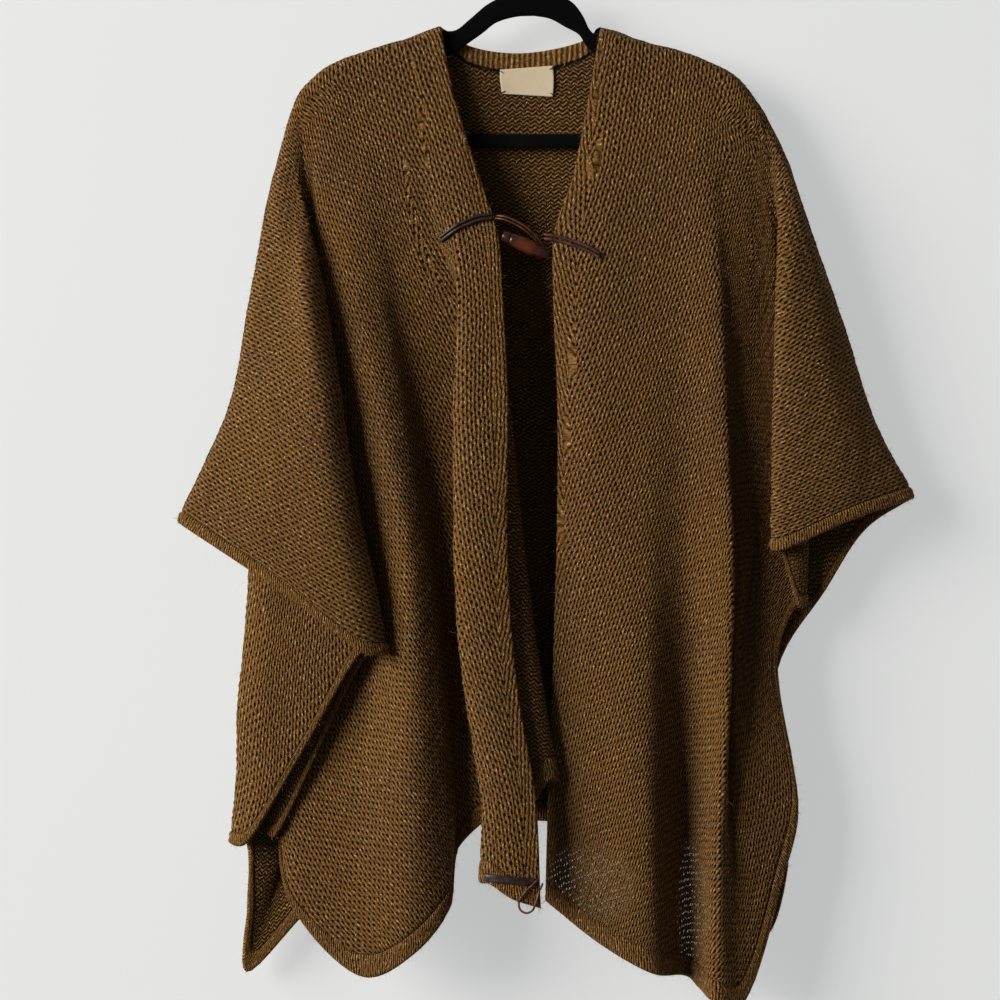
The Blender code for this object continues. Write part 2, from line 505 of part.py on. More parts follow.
def rested(points, pieces, clear):
    """Move points along the view to lie the given distance in front of the pieces behind them."""
    bpy.context.view_layer.update()
    corners = []
    faces = []
    for piece in pieces:
        mesh = piece.evaluated_get(bpy.context.evaluated_depsgraph_get()).to_mesh()
        start = len(corners)
        corners += [corner.co.copy() for corner in mesh.vertices]
        faces += [[start + index for index in face.vertices] for face in mesh.polygons]
    tree = BVHTree.FromPolygons(corners, faces)
    for point in points.reshape(-1, 3):
        hit = tree.ray_cast((point[0], -1, point[2]), (0, 1, 0))[0]
        if hit is None:
            continue
        point[1] = hit.y - clear
        while tree.find_nearest(point)[3] < clear:
            point[1] -= REST_STEP
    return points


def add_cord(name, route, radius, material, pieces=()):
    """Round cord with closed ends along a smooth curve through its route, resting on the pieces given."""
    fine = through(route, np.linspace(0, len(route) - 1, 24 * len(route)))
    run = lengths(fine)
    count = max(6, int(run[-1] / (4 * radius)) + 1)
    even = np.stack([np.interp(np.linspace(0, run[-1], count), run, fine[:, k]) for k in range(3)], axis=1)
    if pieces:
        even = rested(even, pieces, radius + 2 * SEAM)
    curve = bpy.data.curves.new(name, "CURVE")
    curve.dimensions = "3D"
    curve.bevel_depth = radius
    curve.bevel_resolution = 2
    curve.use_fill_caps = True
    spline = curve.splines.new("POLY")
    spline.points.add(count - 1)
    for point, position in zip(spline.points, even):
        point.co = (*position, 1)
    curve.materials.append(material)
    piece = bpy.data.objects.new(name, curve)
    bpy.context.scene.collection.objects.link(piece)
    return piece


def add_label(panel, material):
    """Woven label laid on the inside of the back."""
    sides = place([[(*point, 0) for point in row] for row in LABEL_SIDES])
    across = np.linspace(0, 1, 7)[:, None, None]
    grid = sides[None, :, 0] * (1 - across) + sides[None, :, 1] * across
    grid = rested(grid, [panel], 2 * SEAM + LABEL_THICK / 2)
    towards = np.zeros_like(grid)
    towards[..., 1] = -1
    wall("label", grid, towards, LABEL_THICK, material)


def toggle_frame():
    """The toggle's start, its axis, and the two directions square to it: up the view and away from it."""
    ends = place(TOGGLE_ENDS)
    axis = ends[1] - ends[0]
    away = np.cross(axis, (0, 0, 1))
    away /= np.linalg.norm(away)
    up = np.cross(away, axis)
    return ends[0], axis, up / np.linalg.norm(up), away


def add_toggle(material):
    """Horn toggle: a round bar that swells to its middle and narrows to blunt ends."""
    start, axis, up, away = toggle_frame()
    sections = np.array(TOGGLE_SECTIONS)
    angles = np.linspace(0, 2 * np.pi, 14, endpoint=False)
    ring = np.cos(angles)[:, None] * up + np.sin(angles)[:, None] * away
    points = (start + sections[:, 0, None, None] * axis
              + (sections[:, 1] * MM)[:, None, None] * ring[None])
    count = len(angles)
    here = np.arange(count)
    after = np.roll(here, -1)
    last = (len(sections) - 1) * count
    faces = [here[::-1].tolist(), (here + last).tolist()]
    for low in range(0, last, count):
        faces += np.stack([here + low, after + low, after + low + count, here + low + count],
                          axis=-1).tolist()
    add_mesh("toggle", points.reshape(-1, 3), faces, material)


def toggle_top(share):
    """The point where a strand of the loop meets the toggle's upper side, clear of it."""
    start, axis, up, _ = toggle_frame()
    radius = np.interp(share, *np.array(TOGGLE_SECTIONS).T) * MM
    return start + share * axis + (radius + LOOP_RADIUS + SEAM) * up


def shifted(route, down, across=0.0):
    """A route in metres, moved down and across the view by some view units."""
    return place(route) + [across * UNIT, 0, -down * UNIT]


def add_laces(material):
    """Leather laces: two tied strands on each front, the toggle's loop, and the one through the hem."""
    pieces = bpy.data.objects
    for side, route in (("right", LACE_RIGHT), ("left", LACE_LEFT)):
        for strand, down in (("upper", -LACE_PITCH / 2), ("lower", LACE_PITCH / 2)):
            add_cord(f"lace_{side}_{strand}", shifted(route, down), LACE_RADIUS, material,
                     [pieces[side + "_front"]])
    for strand, half, share in zip(("upper", "lower"), (0.5, -0.5), LOOP_SHARES):
        route = shifted(TOGGLE_LOOP, half * LOOP_PITCH[1], half * LOOP_PITCH[0])
        route = np.concatenate([route, [toggle_top(share)]])
        add_cord("toggle_loop_" + strand, route, LOOP_RADIUS, material)
    middle = through(place([(*point, 0) for point in HEM_LACE]), np.linspace(0, len(HEM_LACE) - 1, 16))
    half = HEM_LACE_WIDTH / 2 * UNIT
    grid = np.stack([middle + [0, 0, rise] for rise in np.linspace(half, -half, 5)], axis=1)
    grid = rested(grid, [pieces["right_front_hem"], pieces["right_front"]], 2 * SEAM + HEM_LACE_THICK / 2)
    normal = np.cross(np.gradient(grid, axis=0), np.gradient(grid, axis=1))
    normal /= np.linalg.norm(normal, axis=-1, keepdims=True)
    strip = wall("hem_lace", grid, normal, HEM_LACE_THICK, material)
    add_cord("hem_loop", place(HEM_LOOP), LOOP_RADIUS, material, [pieces["right_front_hem"], strip])


def make_material(name, colour, roughness, metallic=0.0):
    """Plain material with a linear colour."""
    material = bpy.data.materials.new(name)
    material.use_nodes = True
    shader = material.node_tree.nodes["Principled BSDF"]
    shader.inputs["Base Color"].default_value = (*colour, 1.0)
    shader.inputs["Roughness"].default_value = roughness
    shader.inputs["Metallic"].default_value = metallic
    material.diffuse_color = (*colour, 1.0)
    return material


def make_panels(knit):
    """The three panels of cloth, and the turned hem and cuff border of each."""
    plan = (("right_front", RIGHT_FRONT, [RIDGE_RIGHT], 1, 1),
            ("left_front", LEFT_FRONT, [RIDGE_LEFT], 1, -1),
            ("back", BACK, [RIDGE_RIGHT, RIDGE_LEFT], -1, 1))
    for name, folds, ridges, facing, outer in plan:
        grid, normal, split = panel_grid(folds, ridges, facing, outer, STEPS, ROWS)
        wall(name, grid[:, :split], normal[:, :split], WALL, knit)
        swell = [WALL] + [HEM_WALL] * (BORDER_ROWS - 1)
        wall(name + "_hem", grid[:, split:], normal[:, split:], swell, knit)


def main():
    """Remove what the scene holds and build every piece."""
    for item in list(bpy.data.objects):
        bpy.data.objects.remove(item)
    knit = make_material("heathered_brown_knit", (0.105, 0.062, 0.022), 0.95)
    flock = make_material("black_flocking", (0.006, 0.006, 0.007), 0.95)
    wire = make_material("plated_wire", (0.55, 0.55, 0.56), 0.3, 1.0)
    cloth = make_material("woven_label", (0.72, 0.66, 0.52), 0.85)
    horn = make_material("brown_horn", (0.09, 0.03, 0.012), 0.3)
    leather = make_material("dark_leather", (0.05, 0.02, 0.014), 0.55)
    make_panels(knit)
    add_hanger(flock)
    add_hook(wire)
    add_label(bpy.data.objects["back"], cloth)
    add_toggle(horn)
    add_laces(leather)


main()
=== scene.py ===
"""Open-front knitted poncho on a flocked hanger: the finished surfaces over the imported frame.

Everything is in metres in the frame's own axes: +Z up, the garment's front towards -Y. Each panel of
cloth is worked out from a short table with a row for each fold line, as in the solids, at a finer
step. A row gives the line's name, which side its turn bulges to (0 for a soft crest or valley),
whether the cloth there steps forward or back, the turn's radius, where along the line the turn starts
and is fully closed, the line's two ends in the flat cloth, and its route. A route is (across, down,
out): across and down in view units of 0.95 mm, out in millimetres towards the front. The places in
the flat cloth also carry the knit's pattern, so the stitches run as they were knitted.
"""
import json
import math
from collections import namedtuple
from itertools import product

import bmesh
import bpy
import numpy as np
from bpy.props import FloatProperty, FloatVectorProperty, IntProperty, PointerProperty
from mathutils.bvhtree import BVHTree
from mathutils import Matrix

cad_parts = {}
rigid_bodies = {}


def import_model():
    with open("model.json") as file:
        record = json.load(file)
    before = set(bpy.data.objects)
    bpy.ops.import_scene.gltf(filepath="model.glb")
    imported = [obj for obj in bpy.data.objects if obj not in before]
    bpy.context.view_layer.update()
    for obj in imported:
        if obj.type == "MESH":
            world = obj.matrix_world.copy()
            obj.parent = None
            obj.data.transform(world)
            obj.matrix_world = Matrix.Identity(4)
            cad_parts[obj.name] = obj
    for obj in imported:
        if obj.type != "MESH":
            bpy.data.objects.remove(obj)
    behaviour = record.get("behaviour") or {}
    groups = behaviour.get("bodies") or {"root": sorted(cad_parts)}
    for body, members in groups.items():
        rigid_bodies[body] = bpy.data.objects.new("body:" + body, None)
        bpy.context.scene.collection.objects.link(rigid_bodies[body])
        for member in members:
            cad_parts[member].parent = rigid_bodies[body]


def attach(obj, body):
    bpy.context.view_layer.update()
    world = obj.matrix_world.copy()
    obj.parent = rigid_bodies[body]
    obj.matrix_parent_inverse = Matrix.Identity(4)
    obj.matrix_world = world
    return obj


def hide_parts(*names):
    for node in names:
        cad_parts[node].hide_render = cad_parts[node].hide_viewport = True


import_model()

bl_info = {
    "name": "Knitted poncho",
    "version": (1, 0, 0),
    "blender": (4, 5, 0),
    "location": "View3D > Sidebar > Poncho",
    "description": "Builds a knitted poncho on its hanger from tables of folds",
    "category": "Object",
}

UNIT = 0.00095          # one view unit, in metres
MM = 0.001
CENTRE = 534.0          # view units: the hanger's middle
HOOK_TOP = -87.0        # view units: the inner top of the hook
WALL = 0.0045           # the knit's thickness
HEM_WALL = 0.0062       # the turned hem, two layers of knit pressed together
HEM = 0.021             # depth of the turned hem along the bottom
CUFF = 0.012            # depth of the narrow border along the side edges
SEAM = 0.0003           # gap kept between pieces
RIDGE_GAP = 0.00004     # gap between front and back along the ridge, where the cloth is one piece
ROLL = 0.008            # radius of the roll over the shoulder and along the wing
HALF_WIDTH = 0.57       # flat cloth: front edge to side edge
SIDE_LENGTH = 0.63      # flat cloth: shoulder to corner along the side edge
ROLL_ROWS = (0.0, 0.0004, 0.0012, 0.0025, 0.004, 0.006, 0.008, 0.011, 0.015)   # rows' depth below the ridge
NEAR_RIDGE = (0.004, 0.012, 0.03, 0.06, 0.1, 0.16)      # extra columns: share of a stretch from the ridge
NEAR_EDGE = (0.002, 0.008, 0.02, 0.04, 0.07)            # extra columns: share of a stretch from a free edge
EDGE_ROWS = (0.0, 0.00015, 0.0006, 0.0014, 0.0026)      # extra rows: height above the bottom edge
ROWS = 230              # rows from the roll to the border
BORDER_ROWS = 9         # rows of the border, above those at its edge
TURN_STEPS = 5          # columns from one control line to the next within a closed turn
TURN_OWNER = 0.1        # how far from its fold a closed turn's outer control lines are counted
UNTURNED = 0.25         # share of the way to the next fold where they lie while the turn is open
CURVE_STEPS = 24        # points to a control point when a route is measured
NET = (60, 40)          # columns and rows of the net that lays a panel flat
SETTLE_STEPS = 2500     # rounds in which the net's springs relax
SETTLE_RATE = 0.25      # share of a spring's pull that one round takes up
HEM_REACH = 0.75        # where the hem's points start on the flat cloth, as a share of the side's distance
RIM_SHARE = 0.06        # thinnest share of a wall, at its rounded rim
SCALLOP = 0.00055       # height of the waves that the stitches give an edge
# Slow unevenness of the cloth: height, and two waves' radians a metre along s and t
UNEVEN = ((0.0005, (41, 23), (-13, 67)), (0.0003, (151, -97), (83, 119)))
GROOVE = (0.9, 0.68, 0.6, 0.85)     # thickness of the wall beside the hem's seam, two rows above and below
FIBRE_ROOT = 0.0006     # depth in the cloth from which a loose fibre grows
BUNCHED = (0.86, 0.66)  # flat size over hung size where the knit's holes start to fade and are faintest
MIDDLE = (534, 500, 0)  # a point between the panels, at the chest

Fold = namedtuple("Fold", "name side step radius closes flat route")

RIDGE_RIGHT = [(441, 28), (415, 40), (387, 47), (360, 56), (331, 68), (316, 79), (304, 91), (296, 106),
               (281, 157), (268, 212), (250, 312), (231, 409), (208, 461), (179, 523)]
RIDGE_LEFT = [(600, 30), (616, 36), (635, 42), (678, 53), (715, 68), (735, 79), (757, 106), (770, 129),
              (786, 163), (799, 204), (824, 276), (847, 342), (873, 424), (906, 486), (912, 499)]

# Wearer's right front, seen at the left: front edge, pleat, valley, crest, corner, wing
RIGHT_FRONT = [
    Fold("front_edge", 0, 0, 0, None, (0.0, 0.0, 0.0, 0.84),
         [(441, 28, 8), (455, 100, 14), (482, 185, 20), (498, 235, 27), (503, 300, 32), (508, 400, 42),
          (508, 560, 50), (517, 681, 54), (535, 792, 60), (540, 900, 63)]),
    Fold("top_layer", 0, 0, 0, None, (0.013, 0.0, 0.026, 0.83),
         [(428, 34, 8), (448, 105, 15), (470, 195, 24), (481, 300, 34), (482, 420, 46), (484, 560, 54),
          (491, 681, 58), (508, 792, 64), (511, 890, 67)]),
    Fold("pleat_left", -1, -1, 7, (0.27, 0.45), (0.027, 0.0, 0.052, 0.821),
         [(413, 41, 8), (436, 110, 15), (454, 190, 24), (460, 290, 31), (456, 420, 37), (457, 560, 44),
          (463, 660, 47), (475, 740, 50), (484, 800, 53), (482, 876, 56)]),
    Fold("pleat_right", 1, -1, 7, (0.27, 0.45), (0.04, 0.0, 0.164, 0.761),
         [(398, 44, 8), (414, 120, 14), (427, 200, 19), (441, 245, 17), (463, 285, 16), (485, 330, 17),
          (501, 370, 20), (509, 415, 22), (517, 500, 27), (531, 620, 31), (543, 700, 34), (556, 777, 38)]),
    Fold("valley", 0, 0, 0, None, (0.06, 0.0, 0.276, 0.721),
         [(378, 50, 8), (384, 120, 14), (385, 200, 18), (400, 300, 16), (422, 420, 10), (444, 560, 10),
          (458, 680, 12), (462, 780, 14), (458, 847, 16)]),
    Fold("crest_side", 0, 0, 0, None, (0.082, 0.0, 0.328, 0.702),
         [(355, 58, 8), (358, 130, 14), (360, 200, 20), (378, 300, 26), (402, 420, 32), (424, 560, 36),
          (438, 700, 40), (445, 830, 42), (448, 906, 44)]),
    Fold("crest", 0, 0, 0, None, (0.1, 0.0, 0.406, 0.682),
         [(335, 66, 8), (336, 130, 14), (338, 200, 18), (357, 300, 28), (382, 420, 36), (406, 560, 44),
          (412, 700, 52), (414, 830, 56), (414, 947, 58)]),
    Fold("corner", 0, 0, 0, None, (0.122, 0.0, 0.57, 0.63),
         [(318, 78, 8), (319, 135, 12), (320, 200, 13), (328, 300, 12), (350, 420, 12), (368, 560, 12),
          (368, 700, 20), (362, 850, 38), (366, 970, 46)]),
    Fold("side", 0, 0, 0, None, (0.137, 0.0, 0.57, 0.465),
         [(306, 89, 8), (311, 140, 10), (314, 200, 7), (314, 300, 2), (320, 420, 0), (325, 560, 1),
          (318, 700, 8), (302, 830, 24), (294, 903, 30)]),
    Fold("wing_inner", -1, 1, 6, (0.12, 0.34), (0.15, 0.0, 0.57, 0.338),
         [(297, 103, 8), (303, 150, 8), (304, 200, 6), (301, 250, 5), (297, 320, 6), (292, 420, 6),
          (287, 560, 8), (280, 700, 13), (271, 834, 18)]),
    Fold("wing_fold", 1, 1, 16, (0.12, 0.36), (0.178, 0.0, 0.57, 0.188),
         [(288, 132, 8), (296, 175, 13), (308, 220, 21), (319, 270, 28), (331, 330, 34), (342, 400, 38),
          (357, 498, 42), (381, 611, 46), (388, 652, 48)]),
    Fold("wing_face", 0, 0, 0, None, (0.22, 0.0, 0.57, 0.083),
         [(277, 172, 8), (283, 210, 16), (288, 260, 24), (290, 330, 31), (285, 420, 40), (283, 500, 46),
          (281, 588, 48)]),
    Fold("wing_ridge", 0, 0, 0, None, (0.27, 0.0, 0.57, 0.0),
         [(266, 222, 8), (250, 312, 8), (231, 409, 8), (208, 461, 8),
          (179, 523, 8)]),
]

# Wearer's left front, seen at the right
LEFT_FRONT = [
    Fold("front_edge", 0, 0, 0, None, (0.0, 0.0, 0.0, 0.84),
         [(600, 30, 8), (588, 100, 14), (572, 180, 20), (554, 235, 25), (553, 300, 24), (557, 400, 22),
          (557, 500, 22), (553, 655, 20), (548, 790, 18), (545, 898, 20)]),
    Fold("first_crest", 0, 0, 0, None, (0.02, 0.0, 0.078, 0.811),
         [(617, 37, 8), (612, 110, 16), (602, 200, 26), (592, 300, 32), (592, 420, 34), (594, 560, 34),
          (596, 700, 36), (598, 820, 40), (602, 940, 44)]),
    Fold("chest", 0, 0, 0, None, (0.04, 0.0, 0.164, 0.78),
         [(637, 42, 8), (640, 120, 16), (642, 200, 24), (640, 300, 28), (642, 420, 32), (644, 560, 36),
          (646, 700, 42), (647, 840, 48), (650, 966, 50)]),
    Fold("low_valley", 0, 0, 0, None, (0.062, 0.0, 0.233, 0.754),
         [(660, 49, 8), (668, 120, 15), (676, 200, 22), (680, 300, 26), (682, 420, 27), (684, 560, 23),
          (684, 700, 12), (684, 840, 5), (688, 976, 7)]),
    Fold("low_crest", 0, 0, 0, None, (0.088, 0.0, 0.345, 0.713),
         [(685, 56, 8), (698, 120, 15), (708, 200, 22), (716, 300, 30), (722, 420, 36), (728, 560, 42),
          (724, 700, 44), (716, 840, 42), (712, 996, 40)]),
    Fold("corner", 0, 0, 0, None, (0.112, 0.0, 0.57, 0.63),
         [(710, 66, 8), (716, 130, 14), (722, 200, 18), (726, 300, 22), (726, 420, 24), (725, 560, 26),
          (722, 700, 30), (724, 840, 32), (737, 1003, 28)]),
    Fold("low_side", 0, 0, 0, None, (0.135, 0.0, 0.57, 0.525),
         [(731, 77, 8), (737, 130, 12), (742, 200, 13), (744, 300, 14), (742, 420, 14), (738, 560, 17),
          (733, 700, 24), (742, 800, 26), (784, 868, 16)]),
    Fold("side", 0, 0, 0, None, (0.152, 0.0, 0.57, 0.45),
         [(745, 91, 8), (751, 140, 10), (756, 220, 9), (757, 300, 9), (755, 420, 10), (748, 560, 13),
          (742, 660, 18), (756, 745, 19), (797, 812, 12)]),
    Fold("side_high", 0, 0, 0, None, (0.162, 0.0, 0.57, 0.315),
         [(752, 99, 8), (761, 145, 9), (769, 220, 7), (775, 300, 6), (775, 420, 6), (768, 520, 8),
          (760, 595, 10), (777, 655, 8)]),
    Fold("wing_inner", 1, 1, 6, (0.12, 0.38), (0.175, 0.0, 0.57, 0.247),
         [(760, 111, 8), (768, 150, 8), (775, 190, 7), (784, 230, 5), (793, 290, 6), (802, 420, 9),
          (806, 520, 11), (803, 606, 14)]),
    Fold("wing_fold", -1, 1, 7, (0.12, 0.38), (0.2, 0.0, 0.57, 0.18),
         [(771, 131, 8), (777, 165, 11), (779, 200, 17), (777, 250, 23), (774, 330, 27), (773, 400, 28),
          (771, 470, 29), (770, 550, 30)]),
    Fold("wing_face", 0, 0, 0, None, (0.235, 0.0, 0.57, 0.083),
         [(785, 162, 8), (793, 200, 17), (801, 245, 23), (813, 310, 28), (825, 380, 31), (838, 450, 32),
          (851, 519, 31)]),
    Fold("wing_ridge", 0, 0, 0, None, (0.28, 0.0, 0.57, 0.0),
         [(800, 206, 8), (824, 276, 8), (847, 342, 8),
          (873, 424, 8), (906, 486, 8), (912, 499, 8)]),
]

# Back, from the wearer's right wing to the left wing
BACK = [
    Fold("right_ridge", 0, 0, 0, None, (-0.27, 0.0, -0.57, 0.0),
         [(266, 222, -8), (250, 312, -8), (231, 409, -8), (208, 461, -8),
          (179, 523, -8)]),
    Fold("right_wing", 0, 0, 0, None, (-0.22, 0.0, -0.57, 0.083),
         [(277, 172, -8), (278, 195, -3), (280, 220, 3), (281, 250, 9), (280, 330, 16), (272, 420, 23),
          (268, 500, 30), (266, 576, 31)]),
    Fold("right_wing_fold", 1, -1, 6, (0.12, 0.36), (-0.178, 0.0, -0.57, 0.188),
         [(288, 132, -8), (286, 160, -7), (288, 190, 1), (294, 220, 9), (304, 270, 21), (316, 330, 31),
          (327, 400, 36), (342, 498, 41), (364, 611, 46), (371, 650, 47)]),
    Fold("right_sub_panel", 0, 0, 0, None, (-0.165, 0.0, -0.57, 0.3),
         [(294, 112, -8), (291, 150, -9), (289, 190, -7), (289, 220, -3), (289, 260, 2), (292, 330, 13),
          (294, 450, 22), (296, 560, 28), (300, 680, 33), (302, 755, 36)]),
    Fold("right_outline", -1, -1, 13, (0.10, 0.34), (-0.152, 0.0, -0.57, 0.39),
         [(300, 97, -8), (296, 140, -10), (289, 185, -13), (283, 220, -12), (276, 270, -9),
          (268, 330, -4), (260, 400, 0), (255, 460, 4), (252, 530, 8), (250, 600, 10), (241, 700, 12),
          (239, 780, 14), (233, 842, 16)]),
    Fold("right_tail_side", 0, 0, 0, None, (-0.14, 0.0, -0.57, 0.51),
         [(309, 85, -8), (306, 140, -12), (301, 190, -17), (297, 250, -20), (292, 400, -22),
          (288, 550, -22), (284, 700, -20), (280, 810, -14), (276, 855, -10), (247, 906, -4)]),
    Fold("right_corner", 0, 0, 0, None, (-0.122, 0.0, -0.57, 0.63),
         [(322, 74, -8), (320, 150, -12), (316, 250, -18), (311, 400, -22), (306, 550, -24),
          (299, 700, -24), (287, 850, -18), (245, 974, -12)]),
    Fold("right_hem", 0, 0, 0, None, (-0.1, 0.0, -0.415, 0.679),
         [(343, 63, -8), (342, 150, -12), (342, 300, -18), (340, 450, -22), (336, 600, -22),
          (328, 750, -18), (316, 904, -12)]),
    Fold("right_back", 0, 0, 0, None, (-0.08, 0.0, -0.242, 0.715),
         [(385, 48, -8), (392, 150, -12), (398, 300, -15), (400, 450, -16), (400, 600, -16),
          (398, 750, -14), (396, 850, -12)]),
    Fold("right_neck", 0, 0, 0, None, (-0.03, 0.0, -0.086, 0.76),
         [(441, 28, -8), (452, 120, -10), (458, 250, -15), (460, 400, -20), (460, 550, -22),
          (460, 700, -22), (460, 828, -20)]),
    Fold("neck_right", 0, 0, 0, None, (-0.02, 0.0, -0.052, 0.772),
         [(470, 45, -8), (480, 120, -10), (486, 250, -16), (488, 400, -20), (489, 550, -20),
          (490, 700, -18), (490, 824, -16)]),
    Fold("centre", 0, 0, 0, None, (0.0, 0.0, 0.0, 0.78),
         [(521, 52, -9), (523, 120, -12), (524, 250, -18), (525, 400, -22), (526, 550, -22),
          (527, 700, -18), (528, 822, -14)]),
    Fold("neck_left", 0, 0, 0, None, (0.02, 0.0, 0.052, 0.772),
         [(580, 41, -8), (572, 120, -10), (568, 250, -16), (568, 400, -20), (570, 550, -22),
          (574, 700, -22), (577, 826, -20)]),
    Fold("left_neck", 0, 0, 0, None, (0.03, 0.0, 0.086, 0.76),
         [(600, 30, -8), (600, 120, -10), (602, 250, -14), (606, 400, -18), (612, 550, -22),
          (618, 700, -24), (622, 832, -22)]),
    Fold("left_back", 0, 0, 0, None, (0.08, 0.0, 0.242, 0.715),
         [(660, 49, -8), (662, 150, -12), (662, 300, -16), (662, 450, -18), (662, 600, -18),
          (665, 750, -16), (670, 858, -12)]),
    Fold("left_hem", 0, 0, 0, None, (0.12, 0.0, 0.415, 0.679),
         [(705, 64, -8), (708, 150, -12), (708, 300, -18), (706, 450, -22), (704, 600, -22),
          (707, 750, -18), (722, 906, -12)]),
    Fold("left_corner", 0, 0, 0, None, (0.14, 0.0, 0.57, 0.63),
         [(728, 75, -8), (733, 150, -12), (736, 300, -17), (736, 450, -20), (734, 600, -20),
          (734, 780, -16), (764, 940, -10)]),
    Fold("left_side_low", 0, 0, 0, None, (0.152, 0.0, 0.57, 0.51),
         [(743, 88, -8), (748, 150, -11), (753, 300, -15), (754, 450, -17), (750, 600, -17),
          (752, 760, -14), (789, 868, -8)]),
    Fold("left_side", 0, 0, 0, None, (0.168, 0.0, 0.57, 0.338),
         [(755, 104, -8), (761, 150, -10), (769, 260, -13), (772, 380, -15), (768, 500, -15),
          (757, 600, -13), (778, 672, -8)]),
    Fold("left_wing_low", 0, 0, 0, None, (0.195, 0.0, 0.57, 0.21),
         [(769, 128, -8), (775, 165, -9), (790, 240, -11), (808, 330, -12), (822, 420, -10),
          (828, 500, -6), (826, 590, -2)]),
    Fold("left_wing", 0, 0, 0, None, (0.235, 0.0, 0.57, 0.09),
         [(785, 162, -8), (798, 220, -9), (816, 290, -9), (836, 370, -8), (856, 450, -5),
          (866, 529, 0)]),
    Fold("left_ridge", 0, 0, 0, None, (0.28, 0.0, 0.57, 0.0),
         [(800, 206, -8), (824, 276, -8), (847, 342, -8),
          (873, 424, -8), (906, 486, -8), (912, 499, -8)]),
]

Panel = namedtuple("Panel", "name folds ridges facing outer steps lean pinned area")

# The panels. Facing is 1 in front and -1 behind; outer is 1 where the grid's own normals point out of
# the cloth's right side; steps are the columns to a stretch between folds; lean is the front edge's
# slope across the knit's columns, kept if pinned; area is the cut's, in square metres.
PANELS = [Panel("right_front", RIGHT_FRONT, [RIDGE_RIGHT], 1, 1, 10, 0.09, False, 0.385),
          Panel("left_front", LEFT_FRONT, [RIDGE_LEFT], 1, -1, 10, 0.23, True, 0.34),
          Panel("back", BACK, [RIDGE_RIGHT, RIDGE_LEFT], -1, 1, 7, 0.0, False, 0.6)]

Band = namedtuple("Band", "outer inner")

# Hanger, half by half from the top of the arch: (across, down) on its outer and its inner edge.
# The arms' outer edge runs just inside the rolled shoulder of the cloth.
HANGER_RIGHT = [
    Band((534, -8), (534, 16)), Band((508, -5), (516, 17)), Band((488, 4), (496, 23)),
    Band((470, 19), (483, 33)), Band((456, 30), (466, 45)), Band((442.5, 32), (448, 57)),
    Band((416.5, 44.5), (428, 67)), Band((388, 51.5), (396, 76)), Band((361.5, 60), (368, 84)),
    Band((333, 72), (342, 96)), Band((319.5, 82.5), (329, 104)), Band((308.5, 94), (320, 112)),
    Band((301, 108), (315, 119)), Band((300.5, 123), (314, 125)), Band((304, 138), (319, 131)),
    Band((316, 147), (334, 134)), Band((360, 148), (360, 134)), Band((534, 148), (534, 134))]
HANGER_LEFT = [
    Band((534, -8), (534, 16)), Band((558, -5), (550, 19)), Band((573, 3), (565, 27)),
    Band((583, 16), (579, 35)), Band((590, 30), (586, 46)), Band((600, 38), (597, 57)),
    Band((614.5, 40.5), (611, 63)),
    Band((634, 46.5), (628, 70)), Band((676.5, 57.5), (668, 82)), Band((712.5, 72.5), (703, 96)),
    Band((731.5, 83), (722, 106)), Band((752.5, 108.5), (738, 117)), Band((758, 124), (742, 122)),
    Band((756, 139), (738, 130)), Band((744, 147), (725, 134)), Band((700, 148), (700, 134)),
    Band((534, 148), (534, 134))]
HANGER_THICK = 0.006
HANGER_SIDES = 20
HOOK_WIRE = 0.0017          # radius of the hook's wire
HOOK_INSIDE = 0.017         # inner radius of the hook's bend
HOOK_ANGLES = (-50, -25, 0, 30, 60, 90, 120, 150, 180, 195)

# Label at the back of the neck: its sides from top to bottom, left and right, in view units
LABEL_SIDES = [((500, 69), (553, 65)), ((500, 78), (554, 75)),
               ((501, 86), (554, 86)), ((502, 93), (553, 96))]
LABEL_THICK = 0.0008
LABEL_LIFT = 0.0007         # how far the finished label stands off the cloth
LABEL_CELLS = (41, 25)      # its points across and down
# Its corner stitches: name, the label's column and row, slope of the thread
LABEL_STITCHES = (("top_left", 1, 2, -1), ("top_right", -2, 2, 1), ("low_left", 1, -3, 1),
                  ("low_right", -2, -3, -1))
STITCH_REACH = (0.0022, 0.0004, 0.0013)     # half a corner stitch: across, out and up
THREAD_RADIUS = 0.00035

# Horn toggle: its two ends (across, down, out), and rows of (share of its length, radius in mm)
TOGGLE_ENDS = ((502, 237.5, 26), (549, 258, 25))
TOGGLE_SECTIONS = [(0, 3.4), (0.02, 4.7), (0.08, 5.5), (0.22, 6.3), (0.42, 7.0), (0.62, 7.0), (0.80, 6.0),
                   (0.92, 5.0), (0.98, 3.8), (1, 2.5)]
TOGGLE_GROOVES = ((0.17, 0.022, 0.7), (0.74, 0.05, 0.6))    # share of its length, width, depth in mm
TOGGLE_WAVE = (0.12, 9, 1)  # its uneven carving: height in mm, radians to its length, start
TOGGLE_SIDES = 32

